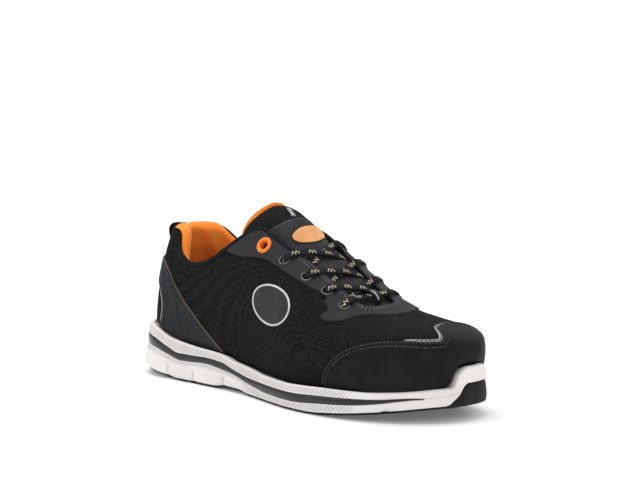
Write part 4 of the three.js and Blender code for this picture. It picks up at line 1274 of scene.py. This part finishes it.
collarLook = {
    "thick": 6.2, "outer": 2.1, "rise": 3.0, "front": -0.4, "farFront": 1.2, "below": 2.4,
    "seamX": 23, "seamDepth": 1.7, "seamWidth": 1.1,
    # how far the lining reaches down inside, at places along the shoe
    "depthAt": (10, 86, 119, 140), "depth": (47, 49, 70, 84),
}


rim = max(contour(grid, gentleMin(collarDepth, throatDepth, 3.0), 0.0), key=len)
rim = rim[:-1] if np.allclose(rim[0], rim[-1]) else rim


def flapTop(line, side):
    score = line[:, 0] + line[:, 2] * 0.5
    return int(np.argmax(np.where((line[:, 1] * side > 0) & (line[:, 0] < 138), score, -1e9)))


def collarLoop():
    # the rim from the outer flap's top, round the heel, to the inner flap's top
    rolled = np.roll(rim, -flapTop(rim, -1), 0)
    if rolled[8, 0] > rolled[0, 0]:
        rolled = np.roll(rolled[::-1], 1, 0)
    return evened(rolled[:flapTop(rolled, 1) + 1], 1.6, 4)


collar, collarRun = collarLoop()
print("collar", len(collar), collar[0, :3].round(1), collar[-1, :3].round(1))


def makeCollarLining():
    # padded band: up its outer face, over the rim in a full roll, and down inside
    look, x, count = collarLook, collar[:, 0], len(collar)
    flat = collar[:, 3:6] * np.array([1, 1, 0.35])
    flat /= np.linalg.norm(flat, axis=1, keepdims=True)
    way = np.gradient(collar[:, :3], axis=0)
    inward = np.cross(way, flat)
    inward /= np.linalg.norm(inward, axis=1, keepdims=True)
    if inward[count // 2, 2] > 0:
        inward = -inward
    depth = np.clip(collar[:, 2] - np.interp(x, look["depthAt"], look["depth"]), 12, 60)
    ends = np.clip(np.minimum(np.arange(count), np.arange(count)[::-1]) / 8, 0, 1) ** 0.5
    ease = 0.55 + 0.45 * ends
    heelRoll = 1 - rise(43, 55, x)
    thick = look["thick"] * (0.78 + 1.0 * heelRoll) * ease
    outer = look["outer"] - 1.6 * heelRoll
    far = rise(-6, 6, collar[:, 1])
    crest = blend(blend(look["front"], look["farFront"], far), look["rise"], heelRoll) * ease
    seam = np.zeros(count)
    for side in (-1, 1):
        at = collarRun[np.argmin(np.abs(x - look["seamX"]) + (collar[:, 1] * side < 0) * 999)]
        seam += look["seamDepth"] * np.exp(-((collarRun - at) / look["seamWidth"]) ** 2)
    start = collar[:, :3] + inward * look["below"]
    points = []

    def below(share, offset):
        place = start.copy()
        place[:, 2] -= (depth - look["below"]) * share
        points.append(slideOut(place) - flat * offset[:, None])

    for share in (1.0, 0.7, 0.4, 0.15):
        below(share, np.full(count, 2.2) - 1.0 * heelRoll * (1 - share))
    for a in np.linspace(np.pi, 0, 15):
        drop = look["below"] - (crest - seam * 0.6 + look["below"]) * math.sin(a)
        offset = outer + (thick - seam) * (0.5 + 0.5 * math.cos(a))
        points.append(collar[:, :3] + inward * drop[:, None] - flat * offset[:, None])
    for share, full in ((0.06, 1.03), (0.14, 1.05), (0.24, 1.03), (0.36, 0.95), (0.5, 0.84), (0.66, 0.72), (0.82, 0.6),
                        (0.95, 0.5), (1.0, 0.42)):
        below(share, outer + thick * full - seam * (1 - share * 0.5))
    points = np.stack(points, 1)
    piece = meshPiece("collar_padding", points.reshape(-1, 3), loftFaces(count, points.shape[1]), angle=70)
    return done(piece, orange, ["collar_lining"])


def slideOut(place):
    # moves a place below the rim out to the form's wall at that height
    x, y, z = place.T
    side = np.where(y < spineY(x), -1, 1)
    x0, y0, ex, ey = upperPlan(stationOf(x, y), side)
    wide, power = widestLine(x0 + ex), roundness(x0 + ex)

    def inside(share):
        lift = np.clip(1 - share**power, 0, 1) ** (1 / power)
        return wide + (crestLine(x0 + ex * share) - wide) * lift > z

    share = np.where(z < wide, 1.0, bisect(inside, np.zeros(len(x)), np.ones(len(x)), 30))
    return np.stack([x0 + ex * share, y0 + ey * share, z], -1)


def stationOf(x, y):
    # the station whose arm passes through a plan point behind the ball
    side = np.where(y < spineY(x), -1, 1)
    wanted = np.arctan2(np.abs(y), last["heelX"] - x)

    def short(station):
        _, _, ex, ey = upperPlan(station, side)
        return np.arctan2(np.abs(ey), -ex) < wanted

    low = bisect(short, np.zeros(len(x)), np.ones(len(x)))
    return np.where(x < last["heelX"], low, 1 + (x - last["heelX"]) / (last["ballX"] - last["heelX"]))


makeCollarLining()


def makeBinding():
    # black rolled edge along the rim, fullest where the collar turns up to the heel
    x = collar[:, 0]
    heel = 1 - rise(40, 50, x)
    turnAt = collarRun[np.argmin(np.abs(x - 52) + (collar[:, 1] > 0) * 999)]
    full = np.exp(-((collarRun - turnAt) / 8) ** 2)
    far = rise(-6, 6, collar[:, 1])
    proud = rise(88, 100, x) * (1 - far)
    half = (1.55 - 0.85 * heel) * (1 - 0.5 * far) + 1.1 * full
    centre = collar[:, :3] + collar[:, 3:6] * (proud - 0.75 + 0.2 * heel)[:, None]
    centre[:, 2] += 0.7 * (1 - heel) * (1 - far)
    piece = tube("collar_binding", centre, collar[:, 3:6], half * 1.05, half, sides=14)
    return done(piece, binding)


makeBinding()
flapLook = {"half": 1.7, "thick": 1.6, "lift": 0.35, "taper": 14, "least": 0.3, "blunt": 1, "sides": 12,
            "slot": "upper_textile"}
flapLines = keepLine([rim], lambda line: (line[:, 0] > 126) & (line[:, 0] < 175) & (line[:, 2] > 90))
for k, line in enumerate(flapLines):
    edgeCord(f"flap_binding_{k + 1}", line, flapLook, binding)
print("collar made")

tongueLook = {
    "middle": 0.5, "top": 2.9, "thick": 4.0, "sweep": (12.5, 4), "arch": 24, "slope": 4, "reach": 10,
    "start": 122, "end": 236,
    "width": [(122, 19.5), (124, 21.5), (128, 22.3), (134, 22.3), (141, 22), (152, 22), (175, 20), (200, 19),
              (236, 17)],
    "crest": [(105, 132.6), (119, 132), (127, 131.2), (135, 129), (145, 125)],
}


def tongueHeight(x, y, sink):
    across = (y - tongueLook["middle"]) / tongueLook["arch"]
    arch = (9 * across**2 + 8 * across**4 + 22 * across**6) * np.where(across > 0, 0.8, 1.0)
    # the outer half hangs a little lower
    outerPart = np.minimum(across, 0) * tongueLook["arch"] / tongueLook["reach"]
    arch = arch + tongueLook["slope"] * (1 - np.exp(-outerPart**2))
    flat = read(tongueLook["crest"], x) - arch - sink + tongueLook["top"]
    return blend(flat, heightAt(x, y, -sink), rise(138, 160, x))


def tonguePlan(row, t, narrow):
    # each row is swept back towards its ends near the top
    outer, inner = tongueLook["sweep"]
    back = np.where(t < 0, outer, inner) * t**2 * (1 - rise(122, 160, row))
    return row - back, tongueLook["middle"] + t * (read(tongueLook["width"], row) - narrow)


def fullness(row, t, start, end):
    share = np.abs(2 * (row - start) / (end - start) - 1).clip(0, 1)
    return np.sqrt(np.clip(1 - np.abs(t) ** 7, 0, 1)) * np.sqrt(1 - share**26)


def pillow(name, start, end, narrow, sink, thick, steps, drop=0.0):
    # a soft sheet, full in the middle and closed along its edges
    row = np.linspace(start, end, steps[0])[:, None]
    t = np.sin(np.linspace(-np.pi / 2, np.pi / 2, steps[1]))[None, :]
    x, y = tonguePlan(row, t, narrow)
    half = fullness(row, t, start, end) * thick / 2
    middle = tongueHeight(x, y, sink) - drop
    points = np.stack([np.stack([x, y, middle + half], -1), np.stack([x, y, middle - half], -1)]).reshape(-1, 3)
    faces = np.concatenate([gridFaces(*steps), gridFaces(*steps, start=y.size)[:, ::-1]])
    return meshPiece(name, points, faces, uv=points[:, :2], angle=60)


bodySink = tongueLook["top"] + tongueLook["thick"] / 2
piece = pillow("tongue_body", tongueLook["start"], tongueLook["end"], 0.0, bodySink, tongueLook["thick"], (90, 40))
done(piece, tongueCloth, ["tongue"])
paddingLook = {"start": 120.2, "end": 150, "lip": 8.0, "sheet": 3.0, "sink": 5.3, "drop": 3.6, "narrow": 3.0}
lipRow = np.linspace(paddingLook["start"], paddingLook["end"], 64)[:, None]
past = rise(121.6, 123.4, lipRow)
piece = pillow("tongue_padding", paddingLook["start"], paddingLook["end"], blend(0.3, paddingLook["narrow"], past),
               paddingLook["sink"], blend(paddingLook["lip"], paddingLook["sheet"], past), (64, 40),
               drop=paddingLook["drop"] * past)
done(piece, orange, ["tongue_lining"])


def tongueGrid():
    row, t = np.linspace(122.3, 232, 100)[:, None], np.linspace(-1, 1, 48)[None, :]
    x, y = tonguePlan(row, t, 0.2)
    z = tongueHeight(x, y, bodySink)
    z = z + fullness(row, t, tongueLook["start"], tongueLook["end"]) * tongueLook["thick"] / 2
    points = np.stack([x, y, z], -1)
    normals = np.cross(np.gradient(points, axis=0), np.gradient(points, axis=1))
    normals /= np.linalg.norm(normals, axis=-1, keepdims=True)
    return {"points": points, "normals": normals, "uv": points[..., :2]}


flatTongue = tongueGrid()
tonguePlaces = flatTongue["points"][..., :2]
plateOutline = [(115, -27), (117.5, -20.6), (127.5, -19), (138.5, -15.6), (144.5, -6), (146, 3), (149.5, 10.4),
                (154, 16.5), (160, 22), (168, 30), (232, 30), (260, 0), (232, -30)]
plateDepth = surfaceDepth(flatTongue, depthInside(tonguePlaces, softLine(plateOutline)))
piece = cutPanel("tongue_plate", flatTongue, plateDepth, 0.05, 0.9, 0.6)
done(piece, stayFinish)
stitches("tongue_stitches", raised(contour(flatTongue, plateDepth, 1.8), 0.9), thread)


def onTongue(x, y):
    x, y = np.asarray(x, float), np.asarray(y, float)
    sink, h = tongueLook["top"], 0.6
    n = np.stack([tongueHeight(x - h, y, sink) - tongueHeight(x + h, y, sink),
                  tongueHeight(x, y - h, sink) - tongueHeight(x, y + h, sink), np.full(x.shape, 2 * h)], -1)
    return np.stack([x, y, tongueHeight(x, y, sink)], -1), n / np.linalg.norm(n, axis=-1, keepdims=True)


badgeLook = {"x": 157.2, "y": 1.6, "long": 15.5, "short": 5.6, "rim": 0.9, "bend": 3.0}
badgeAcross = (tonguePlaces[..., 1] - badgeLook["y"]) / badgeLook["long"]
badgeAlong = tonguePlaces[..., 0] - badgeLook["x"] + badgeLook["bend"] * badgeAcross**2
badgeDistance = np.hypot(badgeAlong / badgeLook["short"], badgeAcross)
badgeDepth = surfaceDepth(flatTongue, (1 - badgeDistance) * badgeLook["short"])
piece = cutPanel("badge_rim", flatTongue, badgeDepth, 0.8, 1.45, 0.5)
done(piece, badgeRim)
piece = cutPanel("badge_face", flatTongue, badgeDepth - badgeLook["rim"], 1.2, 1.8, 0.5)
done(piece, badgeFinish)
tapeTop, tapeNormal = onTongue(np.linspace(133.5, 143, 16), np.linspace(2.8, -0.6, 16))
piece = tube("tongue_tape", tapeTop + tapeNormal * 0.2, tapeNormal, 1.7, 0.4, sides=10, square=4)
done(piece, silver)
print("tongue made")

ringLook = {"outer": 4.15, "bore": 2.9, "seat": 1.25, "top": 2.15, "grommetOuter": 6.1, "grommetBore": 3.1,
            "grommetTop": 2.6}


def turned(name, profile, x, y, sides=36):
    # a lathe profile stood on the form
    a = np.arange(sides) * 2 * np.pi / sides
    n = normalAt(np.array(x, float), np.array(y, float))
    u = np.cross(n, [0, 1, 0])
    u /= np.linalg.norm(u)
    v = np.cross(n, u)
    foot = np.array([x, y, float(heightAt(x, y))])
    p = np.array(profile, float)
    out = np.cos(a)[:, None, None] * u + np.sin(a)[:, None, None] * v
    points = foot + p[None, :, :1] * out + p[None, :, 1:] * n
    faces = gridFaces(sides, len(p), closeA=True, closeB=True)
    return meshPiece(name, points.reshape(-1, 3), faces, angle=50)


def ringProfile(outer, bore, low, high, depth):
    half, middle = (outer - bore) / 2, (outer + bore) / 2
    arc = [(middle + half * math.cos(a), low + (high - low) * math.sin(a)) for a in np.linspace(0, math.pi, 11)]
    return [*arc, (bore, -depth), (bore + 0.5, -depth), (bore + 0.5, low - 0.4), (outer - 0.3, low - 0.1)]


for side, word in ((-1, "lateral"), (1, "medial")):
    for k, spot in enumerate(eyeletSpots[side]):
        profile = ringProfile(ringLook["outer"], ringLook["bore"], ringLook["seat"], ringLook["top"], 0.2)
        piece = turned(f"eyelet_ring_{word}_{k + 1}", profile, *spot)
        done(piece, gunmetal, [f"eyelet_{word}_{k + 1}"])
        # the barrel lines the hole in near-black, painted shade
        barrel = [(3.2, 1.3), (2.9, 1.75), (2.5, 1.6), (2.35, 0.6), (2.35, -2.8), (2.9, -2.8), (3.1, 0)]
        piece = turned(f"eyelet_barrel_{word}_{k + 1}", barrel, *spot, sides=24)
        done(piece, holeShadeBlack)
    profile = ringProfile(ringLook["grommetOuter"], ringLook["grommetBore"], ringLook["seat"], ringLook["grommetTop"],
                          2.6)
    piece = turned(f"grommet_ring_{word}", profile, *grommetSpots[side])
    done(piece, orangePlastic, [f"grommet_{word}"])
    # a black disc that closes the grommet's hole: painted shade
    holeShadeDisc = [(0.001, -1.9), (2.6, -1.9), (2.6, -2.4), (0.001, -2.4)]
    piece = turned(f"grommet_hole_shade_{word}", holeShadeDisc, *grommetSpots[side], sides=24)
    done(piece, holeShadeBlack)
print("eyelets made")

laceLook = {"half": 2.75, "thick": 1.15, "ride": 2.7, "startBack": 4.5, "startSide": 17.5, "under": -1.2, "over": 1.0,
            "bow": {1: 3.6, 2: 1.8, 3: 0.4}}


def onForm(x, y, lift):
    x, y, lift = (np.asarray(v, float) for v in (x, y, lift))
    n = normalAt(x, y)
    return np.stack([x, y, heightAt(x, y)], -1) + n * lift[..., None], n


def routed(start, end, spots, bow=0.0):
    # a lace's middle line through shares of its way and lifts off the form, bowed towards the toe
    (x0, y0), (x1, y1) = start, end
    swing = [bow * math.sin(math.pi * min(t, 1)) for t, _ in spots]
    pts = flow([(blend(x0, x1, t) + aside, blend(y0, y1, t), lift) for (t, lift), aside in zip(spots, swing)], 7)
    return onForm(*pts.T)


def laceLeg(name, start, end, crossLift, bow=0.0, nodes=()):
    # from under one flap, over the tongue, across the other flap and into its eyelet
    ride = laceLook["ride"]
    start = (start[0] - laceLook["startBack"], math.copysign(laceLook["startSide"], start[1]))
    spots = [(0.0, -3.0), (0.12, -1.8), (0.25, -0.6), (0.4, crossLift * 0.8), (0.5, crossLift),
             (0.62, crossLift * 0.9 + 0.4), (0.74, 2.0), (0.84, ride), (0.93, ride + 0.2), (0.985, 2.5), (1.005, 0.6),
             (1.01, -2.5)]
    centre, normal = routed(start, end, spots, bow)
    run = np.linspace(0, 1, len(centre))
    half = laceLook["half"] * (1 - 0.28 * rise(0.86, 1.0, run))
    thick = laceLook["thick"] * (1 + 0.35 * rise(0.86, 1.0, run))
    piece = tube(name, centre, normal, half, thick, sides=16, square=2.6)
    return done(piece, lace, nodes)


for k in (3, 2, 1):
    laceLeg(f"lace_leg_{k}_a", eyeletSpots[-1][k], eyeletSpots[1][k - 1], laceLook["under"], nodes=[f"lace_cross_{k}"])
    laceLeg(f"lace_leg_{k}_b", eyeletSpots[1][k], eyeletSpots[-1][k - 1], laceLook["over"], bow=laceLook["bow"][k])
spots = [(-0.012, -2.5), (-0.008, 0.6), (0.015, 2.5), (0.07, 3.5), (0.16, 3.3), (0.3, 2.0), (0.4, 1.5), (0.5, 1.5),
         (0.6, 1.5), (0.7, 2.0), (0.84, 3.3), (0.93, 3.5), (0.985, 2.5), (1.008, 0.6), (1.012, -2.5)]
centre, normal = routed(eyeletSpots[-1][3], eyeletSpots[1][3], spots)
piece = tube("lace_lowest", centre, normal, laceLook["half"], laceLook["thick"], sides=16, square=2.6)
done(piece, lace, ["lace_bar"])
# webbing keeper on the tongue, round the lowest lace
stops = [(212.6, -1.6), (213.2, 1.2), (214.4, 3.2), (217.5, 4.0), (221.2, 3.3), (223.4, 1.2), (224.3, -1.4)]
pts = flow([(px, tongueLook["middle"], lift) for px, lift in stops], 8)
centre, normal = onForm(pts[:, 0], pts[:, 1], pts[:, 2])
piece = tube("keeper_loop", centre, normal, 2.7, 0.5, sides=12, square=4)
done(piece, binding, ["lace_keeper"])
piece = tube("keeper_tape", centre[4:-4] + normal[4:-4] * 0.4, normal[4:-4], 0.9, 0.25, sides=10, square=4)
done(piece, silver)
print("laces made")

loopLook = {"half": 4.4, "thick": 0.75, "tape": 2.2}
loopPath = flow([(20.5, 95, 0), (16, 97.5, 0), (12.4, 101, 0), (11, 105, 0), (11.8, 108.8, 0), (14.6, 111.2, 0),
                 (18, 111.9, 0), (21.5, 111.7, 0), (25, 110.6, 0)], 6)
centre = np.stack([loopPath[:, 0], np.zeros(len(loopPath)), loopPath[:, 1]], -1)
way = np.gradient(centre, axis=0)
normal = np.stack([-way[:, 2], np.zeros(len(way)), way[:, 0]], -1)
normal /= np.linalg.norm(normal, axis=1, keepdims=True)
piece = tube("heel_pull_loop", centre, normal, loopLook["half"], loopLook["thick"], sides=16, square=5)
done(piece, binding, ["pull_loop"])
top = slice(26, 46)  # the tape lies over the loop's top only
piece = tube("heel_loop_tape", centre[top] + normal[top] * loopLook["thick"], normal[top], loopLook["tape"], 0.3,
             sides=10, square=4)
done(piece, silver)

markLook = {"x": 162, "z": 67, "long": 22.5, "short": 13.5, "line": 1.5, "tilt": 0.16}
dx, dz = grid["points"][..., 0] - markLook["x"], grid["points"][..., 2] - markLook["z"]
c, q = math.cos(markLook["tilt"]), math.sin(markLook["tilt"])
far = np.hypot((dx * c - dz * q) / markLook["long"], (dx * q + dz * c) / markLook["short"])
markDepth = (1 - far) * markLook["short"]
markDepth = np.where((grid["sign"] < 0) & (grid["points"][..., 2] > 40), surfaceDepth(grid, markDepth), outside)
piece = cutPanel("side_mark_ring", grid, markDepth, 0.02, 0.4, 0.25, snap=0.02, far=markLook["line"])
done(piece, printLight)
piece = cutPanel("side_mark_field", grid, markDepth - markLook["line"] + 0.1, 0.02, 0.25, 0.25, snap=0.05)
done(piece, printDark)
print("details made")

studioLook = {"floorSize": 60, "floorDrop": 0.0002, "glowReach": (0.2, 1.2), "glow": (0.12, 0.62), "sky": 0.54}
bpy.ops.mesh.primitive_plane_add(size=studioLook["floorSize"], location=(0, 0, -studioLook["floorDrop"]))
floor = bpy.context.active_object
floor.name = "floor"
floorPaint, tree, shader = newMaterial("floorPaint")
where, _ = places(tree)
tone = mixColour(tree, ramp(tree, noise(tree, where, 2), 0.3, 0.7), (0.93, 0.93, 0.93), (0.95, 0.95, 0.95))
tree.links.new(tone, shader.inputs["Base Color"])
# the floor glows, more so away from the shoe: painted light that turns it plain white
reach = node(tree, "ShaderNodeVectorMath", operation="LENGTH")
tree.links.new(where, reach.inputs[0])
shader.inputs["Emission Color"].default_value = (1, 1, 1, 1)
glow = ramp(tree, reach.outputs["Value"], *studioLook["glowReach"], *studioLook["glow"])
tree.links.new(glow, shader.inputs["Emission Strength"])
shader.inputs["Roughness"].default_value = 0.9
shader.inputs["Specular IOR Level"].default_value = 0.1
floor.data.materials.append(floorPaint)

world = bpy.data.worlds.new("studio")
bpy.context.scene.world = world
world.use_nodes = True
sky = world.node_tree
seen = sky.nodes.new("ShaderNodeLightPath")
strength = sky.nodes.new("ShaderNodeMapRange")
# the sky lights the shoe softly, and is plain white where the camera sees it
for socket, number in zip(strength.inputs[1:5], (0.0, 1.0, studioLook["sky"], 1.0)):
    socket.default_value = number
sky.links.new(seen.outputs["Is Camera Ray"], strength.inputs[0])
sky.nodes["Background"].inputs["Color"].default_value = (1, 1, 1, 1)
sky.links.new(strength.outputs[0], sky.nodes["Background"].inputs["Strength"])


def softBox(name, place, aim, size, power):
    lamp = bpy.data.lights.new(name, "AREA")
    lamp.shape, lamp.size, lamp.size_y, lamp.energy = "RECTANGLE", size[0], size[1], power
    lampObject = bpy.data.objects.new(name, lamp)
    bpy.context.collection.objects.link(lampObject)
    lampObject.location = place
    lampObject.rotation_euler = (Vector(aim) - Vector(place)).to_track_quat("-Z", "Y").to_euler()


lamps = {
    "topLight": {"place": (-0.2, -0.1, 1.5), "aim": (0, 0, 0.05), "size": (1.4, 1.2), "power": 13},
    "leftLight": {"place": (-0.9, -1.1, 0.9), "aim": (0, 0, 0.06), "size": (0.9, 0.9), "power": 5.2},
    "frontLight": {"place": (1.1, -0.5, 0.7), "aim": (-0.05, 0, 0.08), "size": (0.7, 0.7), "power": 2.8},
    "backLight": {"place": (0.1, 1.3, 0.8), "aim": (0, 0, 0.06), "size": (1.2, 0.5), "power": 4.5},
}
for name, look in lamps.items():
    softBox(name, **look)

shot = {"azimuth": 44.5, "elevation": 5.8, "distance": 1.2, "target": (0.0175, 0.0035, 0.1094), "lens": 96.075}
turn, climb = math.radians(shot["azimuth"]), math.radians(shot["elevation"])
back = Vector((math.sin(turn) * math.cos(climb), -math.cos(turn) * math.cos(climb), math.sin(climb)))
camera = bpy.data.cameras.new("camera")
camera.sensor_fit, camera.sensor_width, camera.lens = "HORIZONTAL", 36, shot["lens"]
camera.clip_start, camera.clip_end = 0.05, 30
cameraObject = bpy.data.objects.new("camera", camera)
bpy.context.collection.objects.link(cameraObject)
cameraObject.location = Vector(shot["target"]) + back * shot["distance"]
cameraObject.rotation_euler = back.to_track_quat("Z", "Y").to_euler()
bpy.context.scene.camera = cameraObject
bpy.context.scene.view_settings.view_transform = "Standard"
print("stage set")
